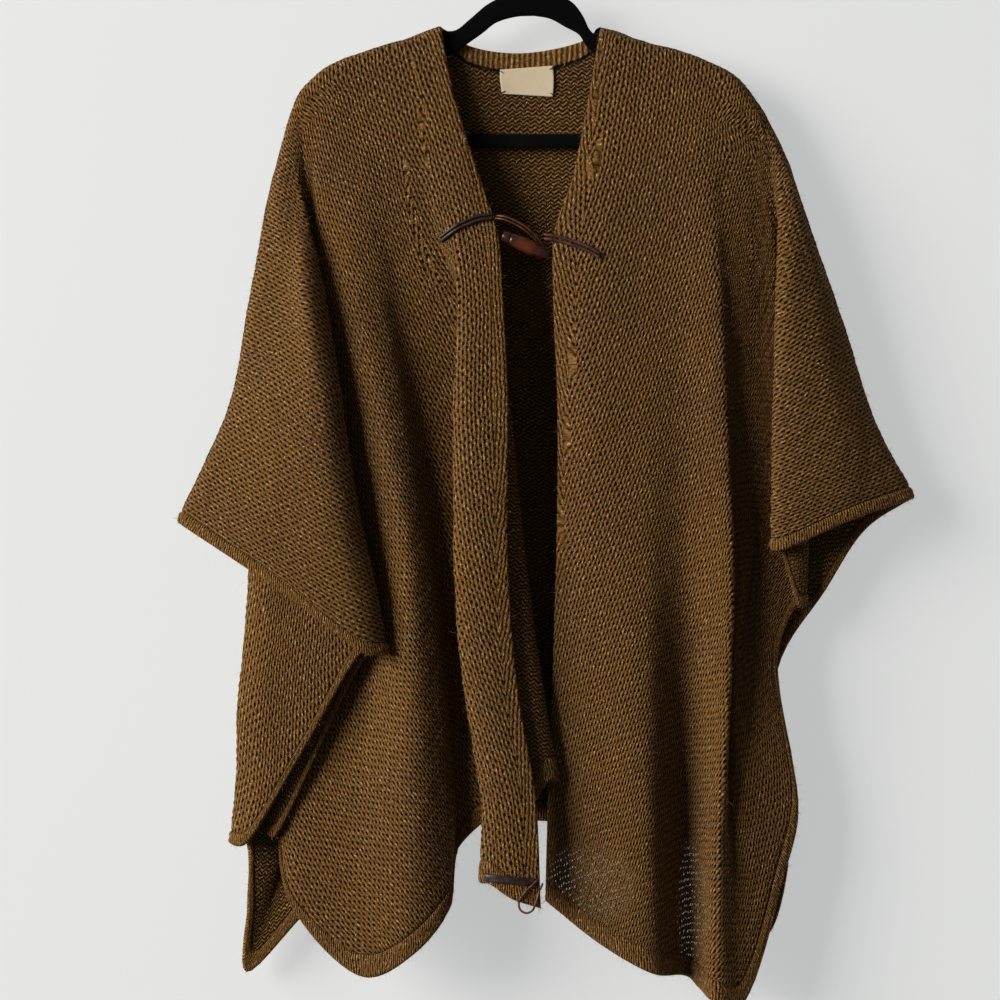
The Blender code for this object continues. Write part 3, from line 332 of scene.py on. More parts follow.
# Leather laces: routes as (across, down, out). Where a panel lies behind, they rest on it.
LACE_RADIUS = 0.0015
LACE_PITCH = 4.2            # view units between a lace's two strands
LACE_RIGHT = [(494, 219, 30), (487, 219.5, 30), (478, 221, 32), (468, 225, 32.5), (459, 229, 32.5),
              (449, 235.5, 31), (440, 242, 28.5)]
LACE_LEFT = [(543, 239, 29), (553, 240.5, 31), (560, 242, 32), (567, 244, 33), (577, 247.5, 34),
             (587, 251.5, 35), (595, 256, 35.8), (600, 259.5, 36)]
LOOP_RADIUS = 0.001
LOOP_PITCH = (1.8, -2.6)    # view units, across and down, from the loop's lower side to its upper side
LOOP_SHARES = (0.80, 0.68)  # where along the toggle the loop's two sides meet it
TOGGLE_LOOP = [(495.4, 219.6, 29.3), (504, 221, 32), (514, 225, 33), (523, 230, 32.5), (531, 236, 30)]
HEM_LACE = [(485, 869), (495, 870), (505, 871), (515, 872), (525, 873), (534, 873)]
HEM_LACE_WIDTH = 8.0        # view units
HEM_LACE_THICK = 0.0014
HEM_LOOP = [(537, 871, 70), (531, 877, 73.5), (523, 885, 74.5), (518.5, 893, 74.5), (520, 900, 74),
            (526, 903, 74), (532, 900, 74), (535.5, 892, 73.5), (539, 881, 72), (542, 874, 70)]
LACE_SQUASH = 0.85          # a lace's thickness over its width
STRAP_ROWS = 9
REST_STEP = 0.00005         # step by which a point is moved forward until it is clear
TUBE_END = 0.6              # radii over which a tube's end rounds off
TUBE_STEP = 1.1             # radii from one of its rings to the next

BACK_BLEND = (0.09, 0.13)   # from the centre: where the back's plain layout gives way to the springs'
FRONT_BORDER = (0.018, 0.010)       # metres from a front edge: plain knit inwards of it, then border
NECK_BAND = (0.019, 0.016)          # metres below the neck: knit, then ribbed band
NECK_SEAM = ((0.0155, 0.018), (0.022, 0.019))       # metres below the neck: the band's dark seam
# Places where the cloth is thin, given a painted glow in its holes for the pale wall behind: left, top, right
# and lowest, in view units
GLOW_PLACES = [(540, 835, 640, 925), (672, 830, 712, 985)]

CAMERA_BACK = 3.0           # from the hanger's plane
FIELD = 0.95                # width and height of the view at the hanger's plane
VIEW_MIDDLE = (-0.0323, -0.5577)
SENSOR = 36                 # the camera's sensor, in millimetres
WALL_SIDES = (-3, 3, -3, 2)         # left, right, lowest and top of the backdrop
AIM = (0.0, 0.0, -0.55)     # what the window's light is turned to
WINDOW_PLACE = (-6.4, -4.2, 1.4)
WINDOW_SIZE = (4.5, 4.0)    # across and up


def place(points):
    """Turn (across, down, out) points into metres: x to the right, y away from the viewer, z up."""
    points = np.asarray(points, float)
    return np.stack([(points[..., 0] - CENTRE) * UNIT, -points[..., 2] * MM,
                     -(points[..., 1] - HOOK_TOP) * UNIT], axis=-1)


def through(points, stops):
    """Smooth curves through control points along axis 0, read at stops counted in control points.

    Each stretch is a cubic with the tangents of a centripetal Catmull-Rom curve.
    """
    gaps = np.diff(points, axis=0)
    knots = np.sqrt(np.maximum(np.linalg.norm(gaps, axis=-1, keepdims=True), 1e-6))
    slopes = gaps / knots
    tangents = np.empty_like(points)
    tangents[1:-1] = (slopes[:-1] * knots[1:] + slopes[1:] * knots[:-1]) / (knots[1:] + knots[:-1])
    tangents[0] = slopes[0]
    tangents[-1] = slopes[-1]
    start = np.minimum(stops.astype(int), len(points) - 2)
    shape = (-1,) + (1,) * (points.ndim - 1)
    f = (stops - start).reshape(shape)
    ends = points[start], points[start + 1]
    pulls = tangents[start] * knots[start], tangents[start + 1] * knots[start]
    return ((2 * f ** 3 - 3 * f ** 2 + 1) * ends[0] + (f ** 3 - 2 * f ** 2 + f) * pulls[0]
            + (3 * f ** 2 - 2 * f ** 3) * ends[1] + (f ** 3 - f ** 2) * pulls[1])


def lengths(points):
    """Distance along a polyline at each of its points."""
    return np.concatenate([[0.0], np.cumsum(np.linalg.norm(np.diff(points, axis=0), axis=1))])


def measured(route):
    """A smooth route in metres as many points, and the distance along it at each."""
    points = place(route)
    fine = through(points, np.linspace(0, len(points) - 1, CURVE_STEPS * len(points)))
    return fine, lengths(fine)


def along(route, shares):
    """Points at the given shares of a smooth route's length, read off its own running length."""
    fine, run = measured(route)
    return np.stack([np.interp(np.asarray(shares) * run[-1], run, fine[:, k]) for k in range(3)], axis=1)


def ease(low, high, value):
    """Smooth step from 0 at low to 1 at high."""
    share = np.clip((value - low) / (high - low), 0.0, 1.0)
    return share * share * (3 - 2 * share)


def border(fold):
    """Width of the border at a line's end: the hem at the bottom, the cuff on the side edge."""
    at_side = abs(fold.flat[2]) >= HALF_WIDTH and fold.flat[3] < SIDE_LENGTH
    return CUFF if at_side else HEM


def control_lines(folds, shares):
    """Control lines of a panel, and the fold that each belongs to.

    A closed turn has three: its middle, on the fold's route, and two that lie one radius inwards and
    one radius before and behind. While the turn is still open those two lie towards the next folds.
    """
    middle = [along(fold.route, share) for fold, share in zip(folds, shares)]
    lines = []
    owners = []
    for i, (fold, share) in enumerate(zip(folds, shares)):
        line = middle[i]
        if not fold.side:
            lines.append(line)
            owners.append(float(i))
            continue
        closed = ease(*fold.closes, share)[:, None]
        radius = fold.radius * MM
        back = np.array([-fold.side * radius, 0.0, 0.0])
        depth = np.array([0.0, fold.step * radius, 0.0])
        before, after = (line + UNTURNED * (middle[j] - line) for j in (i - 1, i + 1))
        before = closed * (line + back + depth) + (1 - closed) * before
        after = closed * (line + back - depth) + (1 - closed) * after
        lines += [before, line, after]
        owners += [i - TURN_OWNER, float(i), i + TURN_OWNER]
    return np.array(lines), np.array(owners)


def flattened(grid, at_side, on_ridge, panel, middle):
    """Lay a panel flat: each point's place (s, t) in the cloth, the knit's columns along t, in metres.

    The ridge lies on t = 0 and the side edge on one column of the knit. The front edge leans off its
    column by the panel's slope, and stays so if it is pinned. In between, a coarse net of springs with
    the hung shape's own lengths settles, and the fine grid is read off it by its running lengths.
    Middle is the column from which s is counted, either way.
    """
    columns = spread(np.linalg.norm(np.diff(grid, axis=0), axis=-1).mean(1), NET[0])
    rows = spread(np.linalg.norm(np.diff(grid, axis=1), axis=-1).mean(0), NET[1])
    net = grid[np.ix_(columns, rows)]
    top = lengths(grid[:, 0])
    top -= top[middle]
    side = lengths(grid[-1])
    hem = lengths(grid[:, -1])
    reach = (top[-1] + side[-1]) * np.sign(top[columns])
    end = np.where(at_side[columns], reach, HEM_REACH * reach)
    far = np.abs(hem - hem[-1])[columns]
    if middle:
        far = np.minimum(far, hem[columns])
    down = np.linspace(0, 1, len(rows))[None, :]
    fade = np.clip(np.abs(top[columns]) / top[-1], 0, 1)[:, None]
    run = np.cumsum(np.linalg.norm(np.diff(net, axis=1), axis=-1), axis=1)
    run = np.concatenate([np.zeros((len(columns), 1)), run], axis=1)
    flat = np.stack([top[columns][:, None] + down * fade * (end - top[columns])[:, None],
                     run * (1 - fade * (1 - np.minimum(far / run[:, -1], 1))[:, None])], axis=-1)
    held = np.zeros(run.shape, bool)
    held[:, 0] = on_ridge[columns]
    held[-1] = True
    held[0] = panel.pinned or middle > 0
    held[0, 0] = True
    flat[-1] = np.stack([top[-1] + side[rows], 0 * side[rows]], axis=-1)
    if middle:
        flat[0] = np.stack([top[0] - lengths(grid[0])[rows], 0 * run[0]], axis=-1)
    else:
        flat[0] = np.stack([panel.lean * run[0], run[0]], axis=-1)
    corner = at_side[columns]
    held[corner, -1] = True
    flat[corner, -1] = np.stack([end, far], axis=-1)[corner]
    flat = settle(flat, net, held)
    fine = np.empty((len(columns), grid.shape[1], 2))
    for i, column in enumerate(columns):
        place_down = lengths(grid[column])
        for k in (0, 1):
            fine[i, :, k] = np.interp(place_down, place_down[rows], flat[i, :, k])
    result = np.empty(grid.shape[:2] + (2,))
    for j in range(grid.shape[1]):
        place_across = lengths(grid[:, j])
        for k in (0, 1):
            result[:, j, k] = np.interp(place_across, place_across[columns], fine[:, j, k])
    return result


def spread(gaps, count):
    """Indices that share out a run of gaps evenly, with its first and last point."""
    run = np.concatenate([[0.0], np.cumsum(gaps)])
    return np.unique(np.abs(run[:, None] - np.linspace(0, run[-1], count)).argmin(0))


def settle(flat, net, held):
    """Relax a flat net until its springs have the lengths that its points have in the hung shape.

    Springs run along the columns, the rows and both diagonals. Each pulls its two ends by half of what
    it is too long, and the free points move by a share of the sum.
    """
    whole, first, second = slice(None), slice(None, -1), slice(1, None)
    pairs = [(start, end, np.linalg.norm(net[end] - net[start], axis=-1)) for start, end in (
        ((first, whole), (second, whole)), ((whole, first), (whole, second)),
        ((first, first), (second, second)), ((first, second), (second, first)))]
    loose = (~held)[..., None]
    for _ in range(SETTLE_STEPS):
        pull = np.zeros_like(flat)
        for start, end, rest in pairs:
            gap = flat[end] - flat[start]
            size = np.maximum(np.linalg.norm(gap, axis=-1), 1e-9)
            move = gap * (0.5 * (size - rest) / size)[..., None]
            pull[start] += move
            pull[end] -= move
        flat = flat + SETTLE_RATE * pull * loose
    return flat


def columns_at(folds, owners, steps):
    """Where a panel's columns fall between its control lines: more at each turn, ridge and free edge."""
    last = len(owners) - 1
    stops = [float(last)]
    for i in range(last):
        count = TURN_STEPS if owners[i + 1] - owners[i] < 0.5 else steps
        stops += [i + k / count for k in range(count)]
    stops += NEAR_RIDGE if folds[0].name.endswith("ridge") else NEAR_EDGE
    if folds[-1].name.endswith("ridge"):
        stops += [last - share for share in NEAR_RIDGE]
    return np.array(sorted(set(stops)))


def ridge_roll(points, ridges, facing):
    """Roll a panel over the shoulder and wing ridge: its depth follows a quarter round of radius ROLL.

    The first row, and a first or last column on the ridge, are set on the ridge line itself.
    """
    near = np.full(points.shape[:2], np.inf)
    snapped = points.copy()
    for ridge in ridges:
        line = along([(across, down, 0) for across, down in ridge], np.linspace(0, 1, 400))
        for i, column in enumerate(points):
            apart = np.linalg.norm(column[:, None, ::2] - line[None, :, ::2], axis=-1)
            best = apart.min(-1)
            closer = best < near[i]
            near[i] = np.where(closer, best, near[i])
            snapped[i] = np.where(closer[:, None], line[apart.argmin(-1)], snapped[i])
    on_ridge = np.zeros(points.shape[:2], bool)
    on_ridge[:, 0] = near[:, 0] < ROLL / 2
    on_ridge[-1] = near[-1].max() < ROLL / 2
    on_ridge[0] |= near[0].max() < ROLL / 2
    share = np.sqrt(np.clip(1 - (1 - np.minimum(near / ROLL, 1)) ** 2, 0, 1))
    depth = np.where(on_ridge, 0.0, points[..., 1] * share)
    points = np.where(on_ridge[..., None], snapped, points)
    points[..., 1] = depth - facing * RIDGE_GAP / 2
    return points, on_ridge


def panel_grid(panel):
    """Middle surface of a panel and its border, columns across and rows down.

    Each fold gives control lines from the ridge to the hem, and the columns are smooth curves from line
    to line. Returns the grid, its normals, its places in the flat cloth, the number of rows above the
    border and which points lie on the ridge.
    """
    shares = []
    for fold in panel.folds:
        length = measured(fold.route)[1][-1]
        end = 1 - border(fold) / length
        top = np.array(ROLL_ROWS) / length
        edge = 1 - np.array(EDGE_ROWS[::-1]) / length
        shares.append(np.concatenate([top, np.linspace(top[-1], end, ROWS + 1)[1:],
                                      np.linspace(end + SEAM / length, edge[0], BORDER_ROWS), edge[1:]]))
    lines, owners = control_lines(panel.folds, shares)
    stops = columns_at(panel.folds, owners, panel.steps)
    split = len(ROLL_ROWS) + ROWS
    grid, on_ridge = ridge_roll(through(lines, stops), panel.ridges, panel.facing)
    grid = open_seam(grid, split)
    grid[on_ridge, 1] = -panel.facing * RIDGE_GAP / 2
    owner = np.interp(stops, np.arange(len(owners)), owners).round(6)
    ends = np.array([abs(fold.flat[2]) >= HALF_WIDTH for fold in panel.folds])
    at_side = ends[np.floor(owner).astype(int)] & ends[np.ceil(owner).astype(int)] & (panel.facing > 0)
    middle = 0 if panel.facing > 0 else int(np.argmin(np.abs(grid[:, 0, 0])))
    flat = flattened(grid, at_side, on_ridge[:, 0], panel, middle)
    if middle:
        share = ease(*BACK_BLEND, np.abs(grid[..., 0]))[..., None]
        plain = np.stack([grid[..., 0], grid[0, 0, 2] - grid[..., 2]], axis=-1)
        flat = share * flat + (1 - share) * plain
    return grid, panel.outer * normals(grid, on_ridge, split, panel.outer), flat, split, on_ridge


def rounded(distance, half):
    """Share of the wall's thickness at a distance from a free edge: a quarter round of half a wall."""
    share = np.clip(distance / half, 0, 1)
    return np.maximum(np.sqrt(np.clip(1 - (1 - share) ** 2, 0, 1)), RIM_SHARE)


def ripple(flat):
    """Height of the cloth's waves at a flat place: one to a stitch, turn and turn about, and slow ones."""
    knit = bpy.context.scene.poncho_knit
    s, t = flat[..., 0], flat[..., 1]
    height = SCALLOP * np.cos(2 * np.pi * t / knit.stitch_height)
    height = height * (0.7 + 0.3 * np.cos(2 * np.pi * s / knit.stitch_width))
    for size, first, second in UNEVEN:
        height = height + size * np.sin(first[0] * s + first[1] * t) * np.sin(second[0] * s + second[1] * t)
    return height


def cloth_wall(name, grid, normal, half, flat, materials, extra=None):
    """Closed wall round a grid, with the flat cloth's places as its UV map.

    Its two sides are the grid moved by half the wall along the normals, either way, and a rim of faces
    joins them. The outer side and the rim take the first material and the inner side the second. Extra
    holds more pairs of values for the points, by the name of their UV map.
    """
    columns, rows = grid.shape[:2]
    outer = (grid + normal * (half + ripple(flat) * np.minimum(half / WALL * 2, 1))[..., None]).reshape(-1, 3)
    inner = (grid - normal * half[..., None]).reshape(-1, 3)
    index = np.arange(columns * rows).reshape(columns, rows)
    cells = np.stack([index[:-1, :-1], index[1:, :-1], index[1:, 1:], index[:-1, 1:]], axis=-1)
    cells = cells.reshape(-1, 4)
    rim = np.concatenate([index[:, 0], index[-1, 1:], index[-2::-1, -1], index[0, -2:0:-1]])
    after = np.roll(rim, -1)
    count = len(outer)
    sides = np.stack([after, rim, rim + count, after + count], axis=-1)
    faces = np.concatenate([cells, cells[:, ::-1] + count, sides])
    piece = add_mesh(name, np.concatenate([outer, inner]), faces.tolist(), materials)
    kinds = np.zeros(len(faces), np.int32)
    kinds[len(cells):2 * len(cells)] = 1
    piece.data.polygons.foreach_set("material_index", kinds)
    for layer, values in {"UVMap": flat, **(extra or {})}.items():
        give_uv(piece, np.concatenate([values.reshape(-1, 2)] * 2), layer)
    return piece


def add_mesh(name, points, faces, materials):
    """Add a smooth mesh object, turned right side out if its faces point inwards."""
    mesh = bpy.data.meshes.new(name)
    mesh.from_pydata(points.tolist(), [], faces)
    shape = bmesh.new()
    shape.from_mesh(mesh)
    if shape.calc_volume(signed=True) < 0:
        bmesh.ops.reverse_faces(shape, faces=shape.faces)
        shape.to_mesh(mesh)
    shape.free()
    for material in materials:
        mesh.materials.append(material)
    mesh.shade_smooth()
    piece = bpy.data.objects.new(name, mesh)
    bpy.context.scene.collection.objects.link(piece)
    return piece


def open_seam(grid, split):
    """Set the border's first row close to the panel's last row, square to the seam.

    The step across is the difference of the rows on both sides, less its part along the seam.
    """
    edge = grid[:, split - 1]
    run = np.gradient(edge, axis=0)
    run /= np.linalg.norm(run, axis=-1, keepdims=True)
    across = grid[:, split + 1] - grid[:, split - 2]
    across -= (across * run).sum(-1, keepdims=True) * run
    across /= np.linalg.norm(across, axis=-1, keepdims=True)
    grid[:, split] = edge + RIDGE_GAP * across
    return grid


def normals(grid, on_ridge, split, outer):
    """Unit normals of a grid; outer says whether they point out of the garment (1) or into it (-1).

    Along the ridge they lie in the hanger's plane, so two panels meet flat. The rows on the two
    sides of the border's seam share theirs, so the gap stays even.
    """
    along_row = np.gradient(grid, axis=0)
    along_column = np.gradient(grid, axis=1)
    normal = np.cross(along_row, along_column)
    seam = normal[:, split - 1] + normal[:, split]
    normal[:, split - 1] = seam
    normal[:, split] = seam
    tangent = along_column.copy()
    tangent[:, 0] = along_row[:, 0]
    square = np.stack([-tangent[..., 2], np.zeros(grid.shape[:2]), tangent[..., 0]], axis=-1)
    from_middle = grid - place(MIDDLE)
    facing = np.sign((square * from_middle).sum(-1, keepdims=True))
    normal = np.where(on_ridge[..., None], square * facing * outer, normal)
    return normal / np.maximum(np.linalg.norm(normal, axis=-1, keepdims=True), 1e-12)


def linear(code):
    """Turn an sRGB hex colour into linear red, green, blue and an opaque alpha."""
    parts = [int(code[i:i + 2], 16) / 255 for i in (1, 3, 5)]
    return tuple(c / 12.92 if c <= 0.04045 else ((c + 0.055) / 1.055) ** 2.4 for c in parts) + (1.0,)


def node(tree, kind, inputs=None, **settings):
    """Add a shader node, set or link its inputs, and return its first output."""
    item = tree.nodes.new(kind)
    for key, value in settings.items():
        setattr(item, key, value)
    for key, value in (inputs or {}).items():
        if isinstance(value, bpy.types.NodeSocket):
            tree.links.new(value, item.inputs[key])
        else:
            item.inputs[key].default_value = value
    return item.outputs[0]


def calc(tree, operation, *values):
    """Add a maths node."""
    return node(tree, "ShaderNodeMath", dict(enumerate(values)), operation=operation)


def blend_colour(tree, share, low, high):
    """Add a colour mix, low where the share is 0 and high where it is 1, and return its colour."""
    item = tree.nodes.new("ShaderNodeMix")
    item.data_type = "RGBA"
    for index, value in ((0, share), (6, low), (7, high)):
        if isinstance(value, bpy.types.NodeSocket):
            tree.links.new(value, item.inputs[index])
        else:
            item.inputs[index].default_value = value
    return item.outputs[2]


def noise(tree, where, scale, detail=2.0, roughness=0.5):
    """Add a noise texture and return its value."""
    return node(tree, "ShaderNodeTexNoise",
                {"Vector": where, "Scale": scale, "Detail": detail, "Roughness": roughness})


def step_up(tree, value, low, high):
    """Smooth step from 0 at low to 1 at high."""
    return node(tree, "ShaderNodeMapRange", {"Value": value, "From Min": low, "From Max": high},
                interpolation_type="SMOOTHSTEP")


def new_material(name):
    """Add a material and return it with its node tree and its shader."""
    material = bpy.data.materials.new(name)
    material.use_nodes = True
    return material, material.node_tree, material.node_tree.nodes["Principled BSDF"]


def finish_shader(tree, shader, colour, height, bump, distance, **values):
    """Give a shader its colour, its bump from a height, and its plain values."""
    tree.links.new(colour, shader.inputs["Base Color"])
    raised = node(tree, "ShaderNodeBump", {"Height": height, "Strength": bump, "Distance": distance})
    tree.links.new(raised, shader.inputs["Normal"])
    for key, value in values.items():
        socket = shader.inputs[key.replace("_", " ")]
        if isinstance(value, bpy.types.NodeSocket):
            tree.links.new(value, socket)
        else:
            socket.default_value = value


def flat_place(tree, name):
    """Add a UV map and return it with its two coordinates."""
    flat = node(tree, "ShaderNodeUVMap", uv_map=name)
    return flat, *parted(tree, flat)


def parted(tree, where):
    """The first two coordinates of a place."""
    node(tree, "ShaderNodeSeparateXYZ", {0: where})
    return tree.nodes[-1].outputs[:2]


def own_place(tree):
    """The place of a point in its piece, in metres."""
    node(tree, "ShaderNodeTexCoord")
    return tree.nodes[-1].outputs["Object"]


def stretched(tree, where, scale):
    """A place with each coordinate multiplied by its own number."""
    return node(tree, "ShaderNodeVectorMath", {0: where, 1: scale}, operation="MULTIPLY")


def wandering(tree, flat, scale, reach):
    """A place moved about by a noise of the given reach, so that no two stitches are alike."""
    node(tree, "ShaderNodeTexNoise", {"Vector": flat, "Scale": scale, "Detail": 2.0})
    drift = tree.nodes[-1].outputs["Color"]
    drift = node(tree, "ShaderNodeVectorMath", {0: drift, 1: (0.5, 0.5, 0.5)}, operation="SUBTRACT")
    drift = stretched(tree, drift, (reach, reach, 0.0))
    return node(tree, "ShaderNodeVectorMath", {0: flat, 1: drift}, operation="ADD")


def stitches(tree, across, down, width, height, lean):
    """Legs and holes of a knit: the legs' height, and the strength of the hole at each place.

    Two steep legs of yarn to a column lean together to a V: a wave of twice the column's pace, whose
    height beats down the column by rows that lean with the distance from its middle. A narrow hole
    opens at the foot of each V, and one between the columns half a stitch down: a sharpened wave
    across, times one down.
    """
    turn = 2 * math.pi
    column = calc(tree, "DIVIDE", across, width)
    row = calc(tree, "DIVIDE", down, height)
    off = calc(tree, "ABSOLUTE", calc(tree, "SUBTRACT", calc(tree, "FRACT", column), 0.5))
    comb = calc(tree, "COSINE", calc(tree, "MULTIPLY", column, 2 * turn))
    comb = calc(tree, "MULTIPLY_ADD", comb, -0.5, 0.5)
    lobe = calc(tree, "MULTIPLY", calc(tree, "MULTIPLY_ADD", off, lean, row), turn)
    lobe = step_up(tree, calc(tree, "COSINE", lobe), -1.0, 0.2)
    legs = calc(tree, "POWER", comb, 0.5)
    legs = calc(tree, "MULTIPLY", legs, calc(tree, "MULTIPLY_ADD", lobe, 0.42, 0.58))
    wave = calc(tree, "COSINE", calc(tree, "MULTIPLY", column, turn))
    narrow = calc(tree, "POWER", calc(tree, "ABSOLUTE", wave), 2.2)
    narrow = calc(tree, "MULTIPLY", narrow, calc(tree, "SIGN", wave))
    beat = calc(tree, "COSINE", calc(tree, "MULTIPLY", row, turn))
    beat = node(tree, "ShaderNodeMapRange",
                {"Value": beat, "From Min": -0.6, "From Max": 0.6, "To Min": -1.0})
    return legs, calc(tree, "MULTIPLY", narrow, beat)


def purl_bumps(tree, across, down, width, height):
    """The inside of the knit: short bright bumps set in rows, half a bump apart from row to row.

    A wave down the cloth that sways across it, times one that steps half a column to a row.
    """
    turn = 2 * math.pi
    column = calc(tree, "DIVIDE", across, width)
    row = calc(tree, "DIVIDE", down, height / 2)
    sway = calc(tree, "SINE", calc(tree, "MULTIPLY", column, turn))
    bars = calc(tree, "COSINE", calc(tree, "MULTIPLY_ADD", row, turn, calc(tree, "MULTIPLY", sway, 1.9)))
    beads = calc(tree, "COSINE", calc(tree, "MULTIPLY", calc(tree, "MULTIPLY_ADD", row, 0.5, column), turn))
    bumps = calc(tree, "MULTIPLY_ADD", bars, 0.5, 0.5)
    return calc(tree, "MULTIPLY", bumps, calc(tree, "MULTIPLY_ADD", beads, 0.3, 0.7))


def wool_colour(tree, flat, where):
    """Heathered olive-brown yarn: noises of different grain lay golden, dark and tan over two browns."""
    knit = bpy.context.scene.poncho_knit
    fleck = noise(tree, where, 620.0, 3.0, 0.7)
    heather = noise(tree, flat, 300.0, 3.0, 0.65)
    patch = noise(tree, flat, 11.0, 3.0)
    streak = noise(tree, stretched(tree, flat, (1.0, 0.35, 1.0)), 640.0, 2.0, 0.7)
    colour = blend_colour(tree, step_up(tree, heather, 0.36, 0.66), knit.yarn_brown, knit.yarn_light_brown)
    for grain, low, high, most, yarn in ((patch, 0.40, 0.66, 0.7, knit.yarn_golden),
                                         (fleck, 0.50, 0.36, 0.75, knit.yarn_dark),
                                         (streak, 0.56, 0.68, 0.75, knit.yarn_tan)):
        share = calc(tree, "MULTIPLY", step_up(tree, grain, low, high), most)
        colour = blend_colour(tree, share, colour, yarn)
    return colour, fleck


def knit_material(name, inside=False, plain=False):
    """Heathered wool in a tuck stitch, drawn in the flat cloth's own metres.

    The inside shows purl bumps, and a ribbed band round the neck. A plain border, turned hem or edge of
    the front, has finer ribs and hardly any hole. Where the cloth is thin, a painted glow in the holes stands
    for the pale wall seen through them, and where the flat places are bunched the holes fade. The height is
    the legs' less the holes', and it also paints shade: darker yarn in its hollows, and the holes near black.
    """
    knit = bpy.context.scene.poncho_knit
    material, tree, shader = new_material(name)
    flat = flat_place(tree, "UVMap")[0]
    where = wandering(tree, flat, 70.0, 0.0042)
    across, down = parted(tree, where)
    colour, fleck = wool_colour(tree, flat, where)
    soft = noise(tree, where, 230.0)
    uneven = calc(tree, "MULTIPLY_ADD", step_up(tree, soft, 0.34, 0.6), 0.55, 0.45)
    if plain:
        legs, hole = stitches(tree, across, down, knit.rib_width, 1.6 * knit.stitch_height, 0.8)
        gap = calc(tree, "MULTIPLY", step_up(tree, hole, 0.35, 0.95), 0.5)
    else:
        legs, hole = stitches(tree, across, down, knit.stitch_width, knit.stitch_height, 2.2)
        gap = step_up(tree, hole, 0.1, 0.62)
        _, from_front, from_neck = flat_place(tree, "Edge")
        border = step_up(tree, from_front, *FRONT_BORDER)
        if inside:
            bumps = purl_bumps(tree, across, down, knit.stitch_width, knit.stitch_height)
            band = step_up(tree, from_neck, *NECK_BAND)
            ribs = calc(tree, "COSINE", calc(tree, "MULTIPLY", across, 2 * math.pi / knit.rib_width))
            ribs = calc(tree, "MULTIPLY_ADD", ribs, 0.4, 0.6)
            legs = node(tree, "ShaderNodeMix", {0: band, 2: bumps, 3: ribs})
            seam = calc(tree, "MULTIPLY", *(step_up(tree, from_neck, *side) for side in NECK_SEAM))
            gap = calc(tree, "MULTIPLY", step_up(tree, bumps, 0.22, 0.02), 0.8)
            gap = calc(tree, "MAXIMUM", calc(tree, "MULTIPLY", gap, calc(tree, "SUBTRACT", 1.0, band)), seam)
        gap = calc(tree, "MULTIPLY", gap, calc(tree, "MULTIPLY_ADD", border, -0.6, 1.0))
        _, glow_share, loose = flat_place(tree, "Thin")
        gap = calc(tree, "MULTIPLY", gap, calc(tree, "MULTIPLY_ADD", loose, -0.7, 1.0))
    gap = calc(tree, "MULTIPLY", gap, uneven)
    height = calc(tree, "MULTIPLY_ADD", gap, -1.0, legs)
    height = calc(tree, "MULTIPLY_ADD", fleck, 0.7, height)
    # Painted shade: the yarn darkens towards dark brown where the height is low, in the hollows between the
    # legs.
    colour = blend_colour(tree, step_up(tree, height, -0.05, 1.22), linear("#170d05"), colour)
    # Painted shade: the holes are painted near black, and the neck band's seam inside takes the same near
    # black.
    colour = blend_colour(tree, calc(tree, "MULTIPLY", gap, 0.93), colour, linear("#070402"))
    if not (inside or plain):
        # Painted light: the hole centres in the thin places glow pale by emission, standing for the lit wall
        # seen through the knit.
        light = calc(tree, "MULTIPLY", step_up(tree, hole, 0.93, 0.99), step_up(tree, glow_share, 0.0, 0.6))
        light = calc(tree, "MULTIPLY", light, step_up(tree, soft, 0.42, 0.56))
        tree.links.new(calc(tree, "MULTIPLY", light, 0.75), shader.inputs["Emission Strength"])
        shader.inputs["Emission Color"].default_value = linear("#f4ece0")
    finish_shader(tree, shader, colour, height, 0.8, 0.002, Roughness=0.95, Sheen_Weight=0.12,
                  Sheen_Roughness=0.5, Sheen_Tint=linear("#b08a55"), Specular_IOR_Level=0.12)
    return material


def fuzz_material():
    """Loose wool fibres, paler than the yarn and soft."""
    material, tree, shader = new_material("loose_wool_fibre")
    mix = noise(tree, own_place(tree), 400.0)
    colour = blend_colour(tree, step_up(tree, mix, 0.4, 0.6), linear("#5a3e20"), linear("#9a7a4c"))
    tree.links.new(colour, shader.inputs["Base Color"])
    shader.inputs["Roughness"].default_value = 1.0
    shader.inputs["Specular IOR Level"].default_value = 0.05
    return material


def flock_material():
    """Black flocking: very dark, dull, with a short even nap."""
    material, tree, shader = new_material("black_flocking")
    where = own_place(tree)
    grain = noise(tree, where, 2600.0, 3.0, 0.7)
    wear = noise(tree, where, 38.0, 3.0)
    colour = blend_colour(tree, grain, linear("#010101"), linear("#040405"))
    colour = blend_colour(tree, calc(tree, "MULTIPLY", step_up(tree, wear, 0.55, 0.75), 0.3), colour,
                          linear("#0c0c0e"))
    finish_shader(tree, shader, colour, grain, 0.35, 0.0005, Roughness=0.95, Sheen_Weight=0.02,
                  Specular_IOR_Level=0.08)
    return material


def wire_material():
    """Plated steel wire, softly brushed along its length."""
    material, tree, shader = new_material("plated_wire")
    where = own_place(tree)
    grain = noise(tree, where, 1500.0, 2.0)
    colour = blend_colour(tree, grain, linear("#9a9a9c"), linear("#c4c4c6"))
    finish_shader(tree, shader, colour, grain, 0.08, 0.0002, Metallic=1.0,
                  Roughness=calc(tree, "MULTIPLY_ADD", grain, 0.2, 0.18))
    return material


def label_material():
    """Bare cream woven tape with a fine twill and a faint soiled mottle."""
    material, tree, shader = new_material("cream_woven_label")
    where = own_place(tree)
    weave = node(tree, "ShaderNodeTexWave", {"Vector": where, "Scale": 620.0, "Distortion": 0.6},
                 bands_direction="DIAGONAL")
    mottle = noise(tree, where, 120.0, 3.0)
    colour = blend_colour(tree, weave, linear("#c9b697"), bpy.context.scene.poncho_trim.label_cream)
    colour = blend_colour(tree, calc(tree, "MULTIPLY", mottle, 0.4), colour, linear("#b39d78"))
    finish_shader(tree, shader, colour, weave, 0.3, 0.0002, Roughness=0.8, Sheen_Weight=0.1)
    return material


